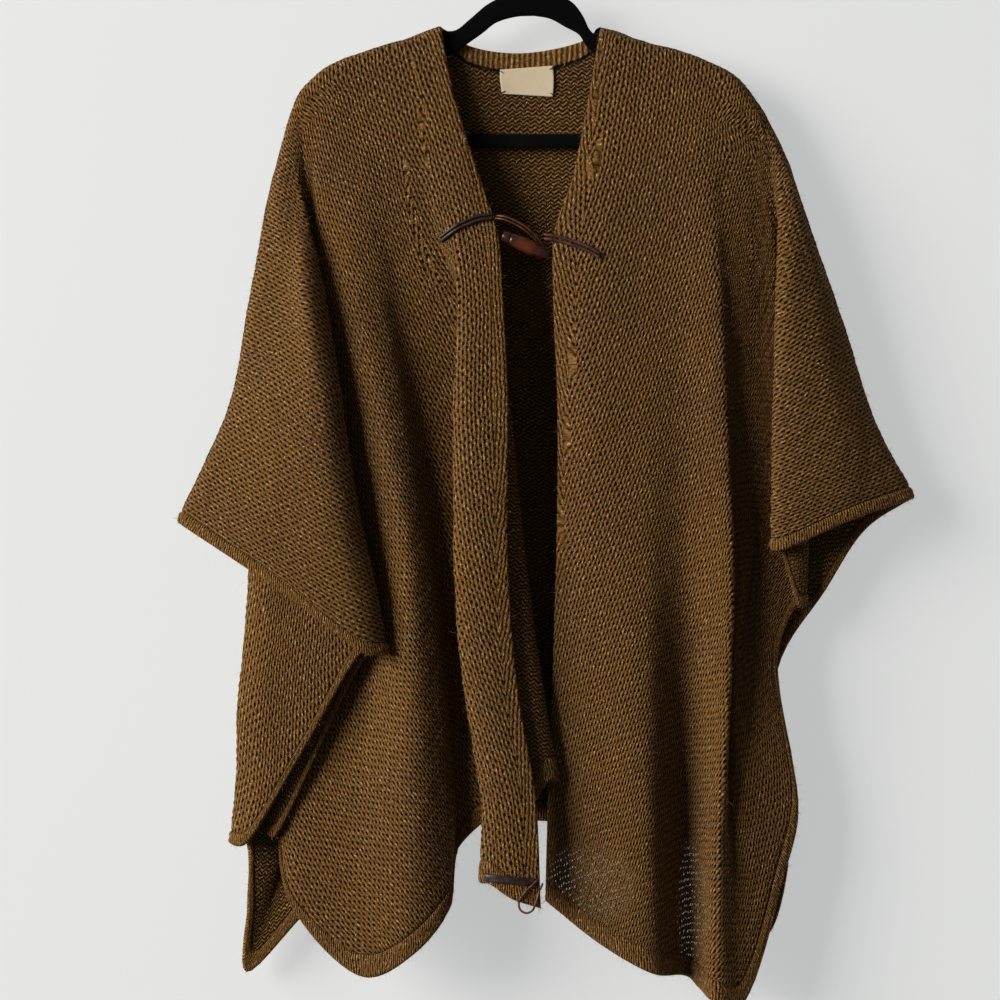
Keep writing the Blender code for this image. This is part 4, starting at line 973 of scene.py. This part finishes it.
def thread_material():
    """Dark brown sewing thread."""
    material, tree, shader = new_material("dark_thread")
    where = own_place(tree)
    twist = node(tree, "ShaderNodeTexWave", {"Vector": where, "Scale": 900.0}, bands_direction="DIAGONAL")
    colour = blend_colour(tree, twist, linear("#1d1209"), linear("#3a2614"))
    finish_shader(tree, shader, colour, twist, 0.5, 0.0002, Roughness=0.8)
    return material


def horn_material():
    """Polished brown horn: dark ends, a painted amber highlight in the middle, fine streaks along its length.

    The painted highlight is a half wave along the toggle, broken up by the streaks.
    """
    material, tree, shader = new_material("polished_brown_horn")
    share, length, _ = flat_place(tree, "UVMap")
    streaks = noise(tree, stretched(tree, share, (2.0, 26.0, 1.0)), 1.6, 4.0, 0.6)
    # Painted highlight: an amber band along the middle of the toggle's length, all the way round.
    painted_highlight = calc(tree, "SINE", calc(tree, "MULTIPLY", length, math.pi))
    painted_highlight = calc(tree, "MULTIPLY", painted_highlight, calc(tree, "MULTIPLY_ADD", streaks, 0.9, 0.55))
    painted_highlight = calc(tree, "MULTIPLY", step_up(tree, painted_highlight, 0.55, 1.05), 0.55)
    colour = blend_colour(tree, streaks, linear("#1c0a05"), linear("#3a160a"))
    colour = blend_colour(tree, painted_highlight, colour, bpy.context.scene.poncho_trim.horn_painted_highlight)
    finish_shader(tree, shader, colour, streaks, 0.15, 0.0003, Coat_Weight=0.5, Coat_Roughness=0.12,
                  Roughness=calc(tree, "MULTIPLY_ADD", streaks, 0.2, 0.16))
    return material


def leather_material(name, dark, light):
    """Leather thong: a dull sheen, rubbed paler in patches, with a fine grain."""
    material, tree, shader = new_material(name)
    where = own_place(tree)
    grain = noise(tree, where, 1100.0, 4.0, 0.6)
    rub = noise(tree, where, 130.0, 3.0)
    colour = blend_colour(tree, step_up(tree, rub, 0.35, 0.7), linear(dark), light)
    colour = blend_colour(tree, calc(tree, "MULTIPLY", grain, 0.35), colour, linear(dark))
    finish_shader(tree, shader, colour, grain, 0.4, 0.0005,
                  Roughness=calc(tree, "MULTIPLY_ADD", grain, 0.3, 0.34))
    return material


def wall_material():
    """Matt off-white wall paint with a roller's faint unevenness; clear when seen from behind the wall."""
    material, tree, shader = new_material("matt_wall_paint")
    where = own_place(tree)
    grain = noise(tree, where, 160.0, 4.0)
    colour = blend_colour(tree, noise(tree, where, 1.2), linear("#8f9090"), linear("#969694"))
    finish_shader(tree, shader, colour, grain, 0.06, 0.001, Roughness=0.85,
                  Emission_Color=linear("#f2f4f4"), Emission_Strength=0.55)
    node(tree, "ShaderNodeNewGeometry")
    behind = tree.nodes[-1].outputs["Backfacing"]
    clear = node(tree, "ShaderNodeBsdfTransparent")
    both = node(tree, "ShaderNodeMixShader", {0: behind, 1: shader.outputs[0], 2: clear})
    tree.links.new(both, tree.nodes["Material Output"].inputs["Surface"])
    return material


def mount(piece, slot, *nodes):
    """Make a piece ride on the body and stand for the CAD nodes given; the slot is not used."""
    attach(piece, "root")
    if nodes:
        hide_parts(*nodes)
    return piece


def bunched(grid, flat):
    """How far each point's flat place is drawn together, from 0 to 1: stitches look too large there.

    It compares each step of the flat places with the same step of the hung ones, and takes the least of
    the steps that meet at a point.
    """
    tight = np.ones(grid.shape[:2])
    for axis in (0, 1):
        ratio = (np.linalg.norm(np.diff(flat, axis=axis), axis=-1)
                 / np.linalg.norm(np.diff(grid, axis=axis), axis=-1))
        first, second = (tight[:-1], tight[1:]) if axis == 0 else (tight[:, :-1], tight[:, 1:])
        np.minimum(first, ratio, out=first)
        np.minimum(second, ratio, out=second)
    return np.clip((BUNCHED[0] - tight) / (BUNCHED[0] - BUNCHED[1]), 0, 1)


def glow_places_share(grid):
    """Share of the painted glow at each point, where the cloth is thin: 1 in the middle of a thin place, 0 on
    its oval's edge.
    """
    glow_share = np.zeros(grid.shape[:2])
    for left, top, right, low in GLOW_PLACES:
        box = place([(left, low, 0), (right, top, 0)])[:, ::2]
        share = 2 * (grid[..., ::2] - box[0]) / (box[1] - box[0]) - 1
        glow_share = np.maximum(glow_share, 1 - (share ** 2).sum(-1))
    return glow_share


def edge_distances(panel, grid, down, on_ridge):
    """Each point's distance from the nearest free edge, and its distances from the front and neck edges.

    A distance is the running length along the grid's own row or column.
    """
    across = np.cumsum(np.linalg.norm(np.diff(grid, axis=0), axis=-1), axis=0)
    edge = np.ones(grid.shape[:2] + (2,))
    free = np.ones(grid.shape[:2])
    if panel.facing > 0:
        free[1:] = across
        free[0] = 0.0
        edge[..., 0] = free
    free[:, 1:] = np.minimum(free[:, 1:], down[:, -1:] - down)
    open_top = ~on_ridge[:, 0]
    free[open_top, 0] = 0.0
    free[open_top, 1:] = np.minimum(free[open_top, 1:], down[open_top])
    edge[open_top, 0, 1] = 0.0
    edge[open_top, 1:, 1] = down[open_top]
    return free, edge


def add_cloth():
    """The three panels with their turned hems."""
    outside = knit_material("heathered_tuck_knit")
    inside = knit_material("heathered_knit_inside", inside=True)
    plain = knit_material("heathered_plain_knit", plain=True)
    for panel in PANELS:
        grid, normal, flat, split, on_ridge = panel_grid(panel)
        down = np.cumsum(np.linalg.norm(np.diff(grid, axis=1), axis=-1), axis=1)
        free, edge = edge_distances(panel, grid, down, on_ridge)
        half = np.full(grid.shape[:2], WALL / 2)
        half[:, split:] = HEM_WALL / 2
        half = half * rounded(free, half)
        half[:, split - 2:split + 2] *= GROOVE
        extra = {"Edge": edge[:, :split],
                 "Thin": np.stack([glow_places_share(grid), bunched(grid, flat)], axis=-1)[:, :split]}
        cloth = cloth_wall(panel.name + "_cloth", grid[:, :split], normal[:, :split], half[:, :split],
                           flat[:, :split], [outside, inside], extra)
        ribs = np.stack(np.broadcast_arrays(lengths(grid[:, split])[:, None], down[:, split - 1:]), axis=-1)
        band = cloth_wall(panel.name + "_turned_hem", grid[:, split:], normal[:, split:], half[:, split:],
                          ribs, [plain, plain])
        mount(cloth, "knit", panel.name)
        mount(band, "knit", panel.name + "_hem")


def add_fuzz():
    """Loose fibres on the outside of the cloth, in one joined mesh for each panel and hem.

    Each starts just under a point of the cloth, leans off its normal by chance, and ends in a tip that
    a bend moves aside and down: a strip of one square and one triangle.
    """
    knit = bpy.context.scene.poncho_knit
    rng = np.random.default_rng(7)
    fibre = fuzz_material()
    for panel, (part, share) in product(PANELS, (("_cloth", 0.86), ("_turned_hem", 0.14))):
        name = panel.name + part
        vertices = bpy.data.objects[name].data.vertices
        points = values_of(vertices, "co", width=3)
        towards = values_of(vertices, "normal", width=3)
        count = int(knit.fibres * share / len(PANELS))
        chosen = rng.integers(0, len(points), count)
        root = points[chosen] - FIBRE_ROOT * towards[chosen]
        lean = rng.normal(size=(count, 3))
        way = towards[chosen] * rng.uniform(0.25, 1.0, (count, 1)) + 0.55 * lean
        way /= np.linalg.norm(way, axis=1, keepdims=True)
        size = knit.fibre_length * rng.uniform(0.35, 1.0, (count, 1)) ** 1.6
        bend = 0.35 * size * rng.normal(size=(count, 3))
        bend[:, 2] -= 0.2 * size[:, 0]
        side = np.cross(way, rng.normal(size=(count, 3)))
        side *= knit.fibre_width / 2 / np.linalg.norm(side, axis=1, keepdims=True)
        middle = root + 0.55 * size * way
        tip = root + size * way + bend
        quads = np.stack([root - side, root + side, middle + side, middle - side, tip], axis=1)
        base = np.arange(count)[:, None] * 5
        faces = (base + [0, 1, 2, 3]).tolist() + (base + [3, 2, 4]).tolist()
        mount(plain_mesh(name + "_fibres", quads.reshape(-1, 3), faces, fibre), "knit")


def plain_mesh(name, points, faces, material):
    """Add an open mesh object as it stands."""
    mesh = bpy.data.meshes.new(name)
    mesh.from_pydata(points.tolist(), [], faces)
    mesh.materials.append(material)
    piece = bpy.data.objects.new(name, mesh)
    bpy.context.scene.collection.objects.link(piece)
    return piece


def rested(points, pieces, clear):
    """Move points along the view to lie the given distance in front of the pieces behind them.

    Each goes to where its line of sight meets a piece, less the distance, and then forward by small
    steps until nothing is nearer.
    """
    corners = []
    faces = []
    for piece in pieces:
        start = sum(len(block) for block in corners)
        corners.append(values_of(piece.data.vertices, "co", width=3))
        faces.append(values_of(piece.data.loops, "vertex_index", np.int32).reshape(-1, 4) + start)
    tree = BVHTree.FromPolygons(np.concatenate(corners).tolist(), np.concatenate(faces).tolist())
    for point in points.reshape(-1, 3):
        hit = tree.ray_cast((point[0], -1, point[2]), (0, 1, 0))[0]
        if hit is None:
            continue
        point[1] = hit.y - clear
        while tree.find_nearest(point)[3] < clear:
            point[1] -= REST_STEP
    return points


def tube(name, route, radius, materials, pieces=(), sides=12, squash=1.0):
    """Closed round tube along a smooth curve through its route; the ends round off.

    A ring lies square to the curve at each step, on a side direction level with the view and one
    square to it, which squash flattens. Over the pieces given, the curve is rested on them and eased.
    """
    fine = through(route, np.linspace(0, len(route) - 1, CURVE_STEPS * len(route)))
    run = lengths(fine)
    count = max(12, int(run[-1] / (TUBE_STEP * radius)) + 1)
    stops = np.linspace(0, run[-1], count)
    line = np.stack([np.interp(stops, run, fine[:, k]) for k in range(3)], axis=1)
    if pieces:
        line = rested(line, pieces, radius + 2 * SEAM)
        line[1:-1, 1] = (line[:-2, 1] + 2 * line[1:-1, 1] + line[2:, 1]) / 4
    forward = np.gradient(line, axis=0)
    forward /= np.linalg.norm(forward, axis=1, keepdims=True)
    side = np.cross(forward, (0, 1, 0))
    side /= np.linalg.norm(side, axis=1, keepdims=True)
    up = np.cross(side, forward)
    far = lengths(line)
    cap = np.minimum(far, far[-1] - far) / (TUBE_END * radius)
    size = radius * np.sqrt(np.clip(1 - (1 - np.minimum(cap, 1)) ** 2, 0.05, 1))
    points = line[:, None] + size[:, None, None] * circle(side[:, None], squash * up[:, None], sides)
    piece = add_mesh(name, points.reshape(-1, 3), ring_faces(count, sides), materials)
    give_uv(piece, ring_places(far / far[-1], sides))
    return piece, line


def circle(side, up, sides):
    """Points round a circle, or an oval, with the two directions given as its radii."""
    angles = np.linspace(0, 2 * np.pi, sides, endpoint=False)[:, None]
    return np.cos(angles) * side + np.sin(angles) * up


def ring_places(shares, sides):
    """Flat places of a tube's points: the share of its length, and the share of a turn round it."""
    return np.stack([np.repeat(shares, sides), np.tile(np.arange(sides) / sides, len(shares))], axis=1)


def ring_faces(rows, sides):
    """Faces of a closed tube of rings, with its two end caps."""
    here = np.arange(sides)
    after = np.roll(here, -1)
    last = (rows - 1) * sides
    low = np.arange(0, last, sides)[:, None, None]
    cells = low + np.stack([here, after, after + sides, here + sides], axis=-1)
    return [here[::-1].tolist(), (here + last).tolist()] + cells.reshape(-1, 4).tolist()


def give_uv(piece, places, layer="UVMap"):
    """Give a mesh a UV map from one pair of values for each of its points."""
    corners = values_of(piece.data.loops, "vertex_index", np.int32)
    piece.data.uv_layers.new(name=layer).data.foreach_set("uv", places[corners].ravel())


def values_of(items, key, kind=float, width=1):
    """One attribute of all of a mesh's items as an array."""
    values = np.empty(len(items) * width, kind)
    items.foreach_get(key, values)
    return values if width == 1 else values.reshape(-1, width)


def toggle_frame():
    """The toggle's start, its axis, and the two directions square to it: up the view and away from it."""
    ends = place(TOGGLE_ENDS)
    axis = ends[1] - ends[0]
    away = np.cross(axis, (0, 0, 1))
    away /= np.linalg.norm(away)
    up = np.cross(away, axis)
    return ends[0], axis, up / np.linalg.norm(up), away


def toggle_top(share):
    """The point where a strand of the loop meets the toggle's upper side, clear of it."""
    start, axis, up, _ = toggle_frame()
    radius = np.interp(share, *np.array(TOGGLE_SECTIONS).T) * MM
    return start + share * axis + (radius + LOOP_RADIUS + SEAM) * up


def add_toggle():
    """The horn toggle: rings of a tabled radius along its axis, with two grooves turned into it."""
    start, axis, up, away = toggle_frame()
    share = np.concatenate([np.linspace(0, 0.02, 4), np.linspace(0.03, 0.97, 48), np.linspace(0.98, 1, 5)])
    radius = np.interp(share, *np.array(TOGGLE_SECTIONS).T)
    for middle, width, depth in TOGGLE_GROOVES:
        radius -= depth * np.exp(-((share - middle) / width) ** 2)
    radius += TOGGLE_WAVE[0] * np.sin(TOGGLE_WAVE[1] * share + TOGGLE_WAVE[2])
    rings = (radius * MM)[:, None, None] * circle(up, away, TOGGLE_SIDES)[None]
    points = (start + share[:, None, None] * axis + rings).reshape(-1, 3)
    piece = add_mesh("horn_toggle", points, ring_faces(len(share), TOGGLE_SIDES), [horn_material()])
    give_uv(piece, ring_places(share, TOGGLE_SIDES))
    mount(piece, "horn", "toggle")


def shifted(route, down, across=0.0):
    """A route in metres, moved down and across the view by some view units."""
    return place(route) + [across * UNIT, 0, -down * UNIT]


def add_laces():
    """The leather laces, the toggle's loop, and the strap and loop at the hem."""
    objects = bpy.data.objects
    trim = bpy.context.scene.poncho_trim
    reddish = leather_material("reddish_leather_thong", "#240e08", trim.left_lace)
    dark = leather_material("dark_leather_thong", "#1a0b08", trim.right_lace)
    tan = leather_material("rubbed_leather_thong", "#3a170a", trim.loops)
    for side, route, leather in (("right", LACE_RIGHT, dark), ("left", LACE_LEFT, reddish)):
        for strand, down in (("upper", -LACE_PITCH / 2), ("lower", LACE_PITCH / 2)):
            add_cord(f"lace_{side}_{strand}", shifted(route, down), LACE_RADIUS, leather,
                     [objects[side + "_front_cloth"]], LACE_SQUASH)
    for strand, half, share in zip(("upper", "lower"), (0.5, -0.5), LOOP_SHARES):
        route = shifted(TOGGLE_LOOP, half * LOOP_PITCH[1], half * LOOP_PITCH[0])
        add_cord("toggle_loop_" + strand, np.concatenate([route, [toggle_top(share)]]), LOOP_RADIUS, tan)
    behind = [objects["right_front_turned_hem"], objects["right_front_cloth"]]
    strap = add_strap(dark, behind)
    add_cord("hem_loop", place(HEM_LOOP), LOOP_RADIUS, tan, behind + [strap])


def add_cord(name, route, radius, leather, pieces=(), squash=1.0):
    """A thong along a route."""
    piece, line = tube(name + "_thong", route, radius, [leather], pieces, squash=squash)
    mount(piece, "leather", name)


def add_strap(leather, behind):
    """The flat thong across the hem: its middle line widened up and down, rested on the cloth."""
    middle = through(place([(*point, 0) for point in HEM_LACE]), np.linspace(0, len(HEM_LACE) - 1, 40))
    rises = np.linspace(1, -1, STRAP_ROWS) * HEM_LACE_WIDTH / 2 * UNIT
    grid = np.stack([middle + [0, 0, rise] for rise in rises], axis=1)
    grid = rested(grid, behind, 2 * SEAM + HEM_LACE_THICK / 2)
    normal = np.cross(np.gradient(grid, axis=0), np.gradient(grid, axis=1))
    normal /= np.linalg.norm(normal, axis=-1, keepdims=True)
    half = HEM_LACE_THICK / 2 * rounded(rises[0] - np.abs(rises), HEM_LACE_THICK)
    strap = cloth_wall("hem_lace_strap", grid, normal, np.broadcast_to(half, grid.shape[:2]),
                       np.zeros(grid.shape[:2] + (2,)), [leather, leather])
    mount(strap, "leather", "hem_lace")
    return strap


def add_label():
    """The bare woven label, slightly puckered, with a small stitch at each corner.

    Its points are shared out between its two sides, rested on the back, and smoothed over the knit.
    """
    sides = place([[(*point, 0) for point in row] for row in LABEL_SIDES])
    sides = through(sides, np.linspace(0, len(sides) - 1, LABEL_CELLS[1]))
    across = np.linspace(0, 1, LABEL_CELLS[0])[:, None, None]
    grid = sides[None, :, 0] * (1 - across) + sides[None, :, 1] * across
    grid = rested(grid, [bpy.data.objects["back_cloth"]], 2 * SEAM + LABEL_THICK / 2)
    for _ in range(6):
        grid[1:-1, :, 1] = (grid[:-2, :, 1] + 2 * grid[1:-1, :, 1] + grid[2:, :, 1]) / 4
        grid[:, 1:-1, 1] = (grid[:, :-2, 1] + 2 * grid[:, 1:-1, 1] + grid[:, 2:, 1]) / 4
    grid[..., 1] -= LABEL_LIFT
    towards = np.zeros_like(grid)
    towards[..., 1] = -1
    tape = label_material()
    label = cloth_wall("woven_label", grid, towards, np.full(grid.shape[:2], LABEL_THICK / 2),
                       np.zeros(grid.shape[:2] + (2,)), [tape, tape])
    mount(label, "label", "label")
    thread = thread_material()
    for name, i, j, slope in LABEL_STITCHES:
        corner = grid[i, j] - [0, LABEL_THICK, 0]
        reach = np.array([STITCH_REACH[0], 0.0, STITCH_REACH[2] * slope])
        route = np.array([corner - reach, corner - [0, STITCH_REACH[1], 0], corner + reach])
        piece, _ = tube("label_stitch_" + name, route, THREAD_RADIUS, [thread], sides=6)
        mount(piece, "label")


def add_hanger():
    """The flocked hanger with rounded edges, and its wire hook.

    A ring of points stands on each pair of the body's outer and inner edge points: a rounded square,
    its sides powers of a cosine and a sine. The hook is a tube up from the arch and round its bend.
    """
    edges = []
    for side in ("outer", "inner"):
        runs = []
        for bands in (HANGER_RIGHT, HANGER_LEFT):
            route = place([getattr(band, side) + (0,) for band in bands])
            runs.append(through(route, np.linspace(0, len(route) - 1, 8 * len(route) - 7)))
        edges.append(np.concatenate([runs[0], runs[1][-2:0:-1]]))
    outer, inner = edges
    width = np.linalg.norm(outer - inner, axis=1)[:, None]
    way = (outer - inner) / width
    turn = np.linspace(0, 2 * np.pi, HANGER_SIDES, endpoint=False)
    across, out = (np.sign(wave) * np.abs(wave) ** power
                   for wave, power in ((np.cos(turn), 0.45), (np.sin(turn), 0.7)))
    points = ((outer + inner)[:, None] / 2 + (width / 2 * across)[..., None] * way[:, None]
              + (out * HANGER_THICK / 2)[None, :, None] * np.array([0.0, 1.0, 0.0]))
    index = np.arange(len(outer) * HANGER_SIDES).reshape(len(outer), HANGER_SIDES)
    after = np.roll(index, -1, axis=0)
    faces = np.stack([index, after, np.roll(after, -1, axis=1), np.roll(index, -1, axis=1)], axis=-1)
    body = add_mesh("flocked_hanger", points.reshape(-1, 3), faces.reshape(-1, 4).tolist(),
                    [flock_material()])
    mount(body, "flock", "hanger")
    foot = place(HANGER_RIGHT[0].outer + (0,))[2] + SEAM
    radius = HOOK_INSIDE + HOOK_WIRE
    turn = np.radians(HOOK_ANGLES)
    bend = np.stack([radius * np.cos(turn), 0 * turn, radius * np.sin(turn) - HOOK_INSIDE], axis=1)
    stem = [(0, 0, foot), (0, 0, foot + 0.012), (0.001, 0, bend[0, 2] - 0.018),
            (0.005, 0, bend[0, 2] - 0.008)]
    hook, _ = tube("wire_hook", np.concatenate([stem, bend]), HOOK_WIRE, [wire_material()], sides=16)
    mount(hook, "wire", "hook")


def add_stage():
    """Pale wall close behind, one large soft window at the left, and the camera square to the wall."""
    stage = bpy.context.scene.poncho_stage
    left, right, low, high = WALL_SIDES
    corners = np.array([(left, 0, low), (right, 0, low), (right, 0, high), (left, 0, high)], float)
    backdrop = plain_mesh("wall", corners + [0, stage.wall_gap, 0], [[0, 1, 2, 3]], wall_material())
    scene = bpy.context.scene
    scene.world = bpy.data.worlds.new("room")
    scene.world.use_nodes = True
    shade = scene.world.node_tree.nodes["Background"]
    shade.inputs["Color"].default_value = linear("#eef2f5")
    shade.inputs["Strength"].default_value = stage.room_light
    lamp = bpy.data.lights.new("window_key", "AREA")
    lamp.shape = "RECTANGLE"
    lamp.size, lamp.size_y = WINDOW_SIZE
    lamp.energy = stage.window_light
    lamp.color = stage.window_colour[:3]
    window = bpy.data.objects.new("window_key", lamp)
    window.location = WINDOW_PLACE
    aim = np.array(AIM) - np.array(WINDOW_PLACE)
    tilt = math.atan2(aim[2], math.hypot(aim[0], aim[1]))
    window.rotation_euler = (math.pi / 2 + tilt, 0, -math.atan2(aim[0], aim[1]))
    scene.collection.objects.link(window)
    lens = bpy.data.cameras.new("camera")
    lens.lens = SENSOR * CAMERA_BACK / FIELD
    lens.clip_end = 20
    camera = bpy.data.objects.new("camera", lens)
    camera.location = (VIEW_MIDDLE[0], -CAMERA_BACK, VIEW_MIDDLE[1])
    camera.rotation_euler = (math.pi / 2, 0, 0)
    scene.collection.objects.link(camera)
    scene.camera = camera
    scene.view_settings.view_transform = "Standard"
    scene.view_settings.look = "None"
    scene.view_settings.exposure = 0.0
    scene.render.resolution_x = 1000
    scene.render.resolution_y = 1000


def colour_setting(name, description, code):
    """A colour that the user can change, from an sRGB hex code."""
    return FloatVectorProperty(name=name, description=description, subtype="COLOR", size=4, min=0.0,
                               max=1.0, default=linear(code))


def length_setting(name, description, metres):
    """A length that the user can change."""
    return FloatProperty(name=name, description=description, default=metres, min=0.0, unit="LENGTH")


class PonchoKnitSettings(bpy.types.PropertyGroup):
    """Sizes and colours of the knit and its loose fibres"""
    stitch_width: length_setting("Stitch width", "One column of the knit: a V of two legs", 0.0074)
    stitch_height: length_setting("Stitch height", "One row of the tuck stitch", 0.0075)
    rib_width: length_setting("Rib width", "One rib of the turned hems and of the neck's band", 0.005)
    yarn_brown: colour_setting("Brown yarn", "Darker of the yarn's two browns", "#6a4622")
    yarn_light_brown: colour_setting("Light brown yarn", "Lighter of its two browns", "#8f6638")
    yarn_golden: colour_setting("Golden yarn", "Wide patches in the yarn", "#845b25")
    yarn_dark: colour_setting("Dark flecks", "Dark fibres in the yarn", "#2e1b0b")
    yarn_tan: colour_setting("Tan streaks", "Pale fibres in the yarn", "#cdab78")
    fibres: IntProperty(name="Fibres", description="Number of loose fibres on all the cloth",
                        default=42000, min=0)
    fibre_length: length_setting("Fibre length", "Longest loose fibre", 0.0075)
    fibre_width: length_setting("Fibre width", "Width of a loose fibre", 0.00016)


class PonchoTrimSettings(bpy.types.PropertyGroup):
    """Colours of the toggle, the laces and the label"""
    # Colour of the toggle's painted highlight: amber laid along its middle.
    horn_painted_highlight: colour_setting("Amber horn", "Glow in the toggle's middle", "#70300f")
    left_lace: colour_setting("Left lace", "Rubbed leather of the left lace", "#542416")
    right_lace: colour_setting("Right lace", "Rubbed leather of the right lace and the strap", "#3d1c14")
    loops: colour_setting("Loops", "Rubbed leather of the toggle's and the hem's loop", "#7a3a1a")
    label_cream: colour_setting("Label", "Raised threads of the woven label", "#d8c8ab")


class PonchoStageSettings(bpy.types.PropertyGroup):
    """The room round the garment"""
    wall_gap: length_setting("Wall", "Distance of the wall behind the hanger", 0.040)
    room_light: FloatProperty(name="Room light", description="Strength of the room's own light",
                              default=0.14, min=0.0)
    window_light: FloatProperty(name="Window light", description="Power of the window", default=980,
                                min=0.0, unit="POWER")
    window_colour: colour_setting("Window colour", "Colour of the window's light", "#fffdf8")


class PONCHO_OT_cloth(bpy.types.Operator):
    """Add the knitted panels and their turned hems"""
    bl_idname = "poncho.cloth"
    bl_label = "Cloth"

    def execute(self, context):
        add_cloth()
        return {"FINISHED"}


class PONCHO_OT_fuzz(bpy.types.Operator):
    """Add the wool's loose fibres"""
    bl_idname = "poncho.fuzz"
    bl_label = "Loose fibres"

    def execute(self, context):
        add_fuzz()
        return {"FINISHED"}


class PONCHO_OT_label(bpy.types.Operator):
    """Add the bare label and its corner stitches"""
    bl_idname = "poncho.label"
    bl_label = "Label"

    def execute(self, context):
        add_label()
        return {"FINISHED"}


class PONCHO_OT_toggle(bpy.types.Operator):
    """Add the horn toggle"""
    bl_idname = "poncho.toggle"
    bl_label = "Toggle"

    def execute(self, context):
        add_toggle()
        return {"FINISHED"}


class PONCHO_OT_laces(bpy.types.Operator):
    """Add the leather laces and loops"""
    bl_idname = "poncho.laces"
    bl_label = "Laces"

    def execute(self, context):
        add_laces()
        return {"FINISHED"}


class PONCHO_OT_hanger(bpy.types.Operator):
    """Add the flocked hanger and its hook"""
    bl_idname = "poncho.hanger"
    bl_label = "Hanger"

    def execute(self, context):
        add_hanger()
        return {"FINISHED"}


class PONCHO_OT_stage(bpy.types.Operator):
    """Add the wall, the lights and the camera"""
    bl_idname = "poncho.stage"
    bl_label = "Stage"

    def execute(self, context):
        add_stage()
        return {"FINISHED"}


OPERATORS = (PONCHO_OT_cloth, PONCHO_OT_fuzz, PONCHO_OT_label, PONCHO_OT_toggle, PONCHO_OT_laces,
             PONCHO_OT_hanger, PONCHO_OT_stage)
SETTINGS = {"poncho_knit": PonchoKnitSettings, "poncho_trim": PonchoTrimSettings,
            "poncho_stage": PonchoStageSettings}


class PONCHO_PT_panel(bpy.types.Panel):
    """Buttons for each piece, in the order in which they are built"""
    bl_idname = "PONCHO_PT_panel"
    bl_label = "Knitted poncho"
    bl_space_type = "VIEW_3D"
    bl_region_type = "UI"
    bl_category = "Poncho"

    def draw(self, context):
        for group, settings in SETTINGS.items():
            for name in settings.__annotations__:
                self.layout.prop(getattr(context.scene, group), name)
        for operator in OPERATORS:
            self.layout.operator(operator.bl_idname)


def register():
    """Register the settings, the operators and the panel."""
    for item in (*SETTINGS.values(), *OPERATORS, PONCHO_PT_panel):
        bpy.utils.register_class(item)
    for group, settings in SETTINGS.items():
        setattr(bpy.types.Scene, group, PointerProperty(type=settings))


def unregister():
    """Take the panel, the operators and the settings away again."""
    for group in SETTINGS:
        delattr(bpy.types.Scene, group)
    for item in (PONCHO_PT_panel, *reversed(OPERATORS), *SETTINGS.values()):
        bpy.utils.unregister_class(item)


def main():
    """Build every piece in order."""
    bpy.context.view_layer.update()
    register()
    bpy.ops.poncho.stage()
    bpy.ops.poncho.cloth()
    bpy.ops.poncho.fuzz()
    bpy.ops.poncho.label()
    bpy.ops.poncho.toggle()
    bpy.ops.poncho.laces()
    bpy.ops.poncho.hanger()


if __name__ == "__main__":
    main()
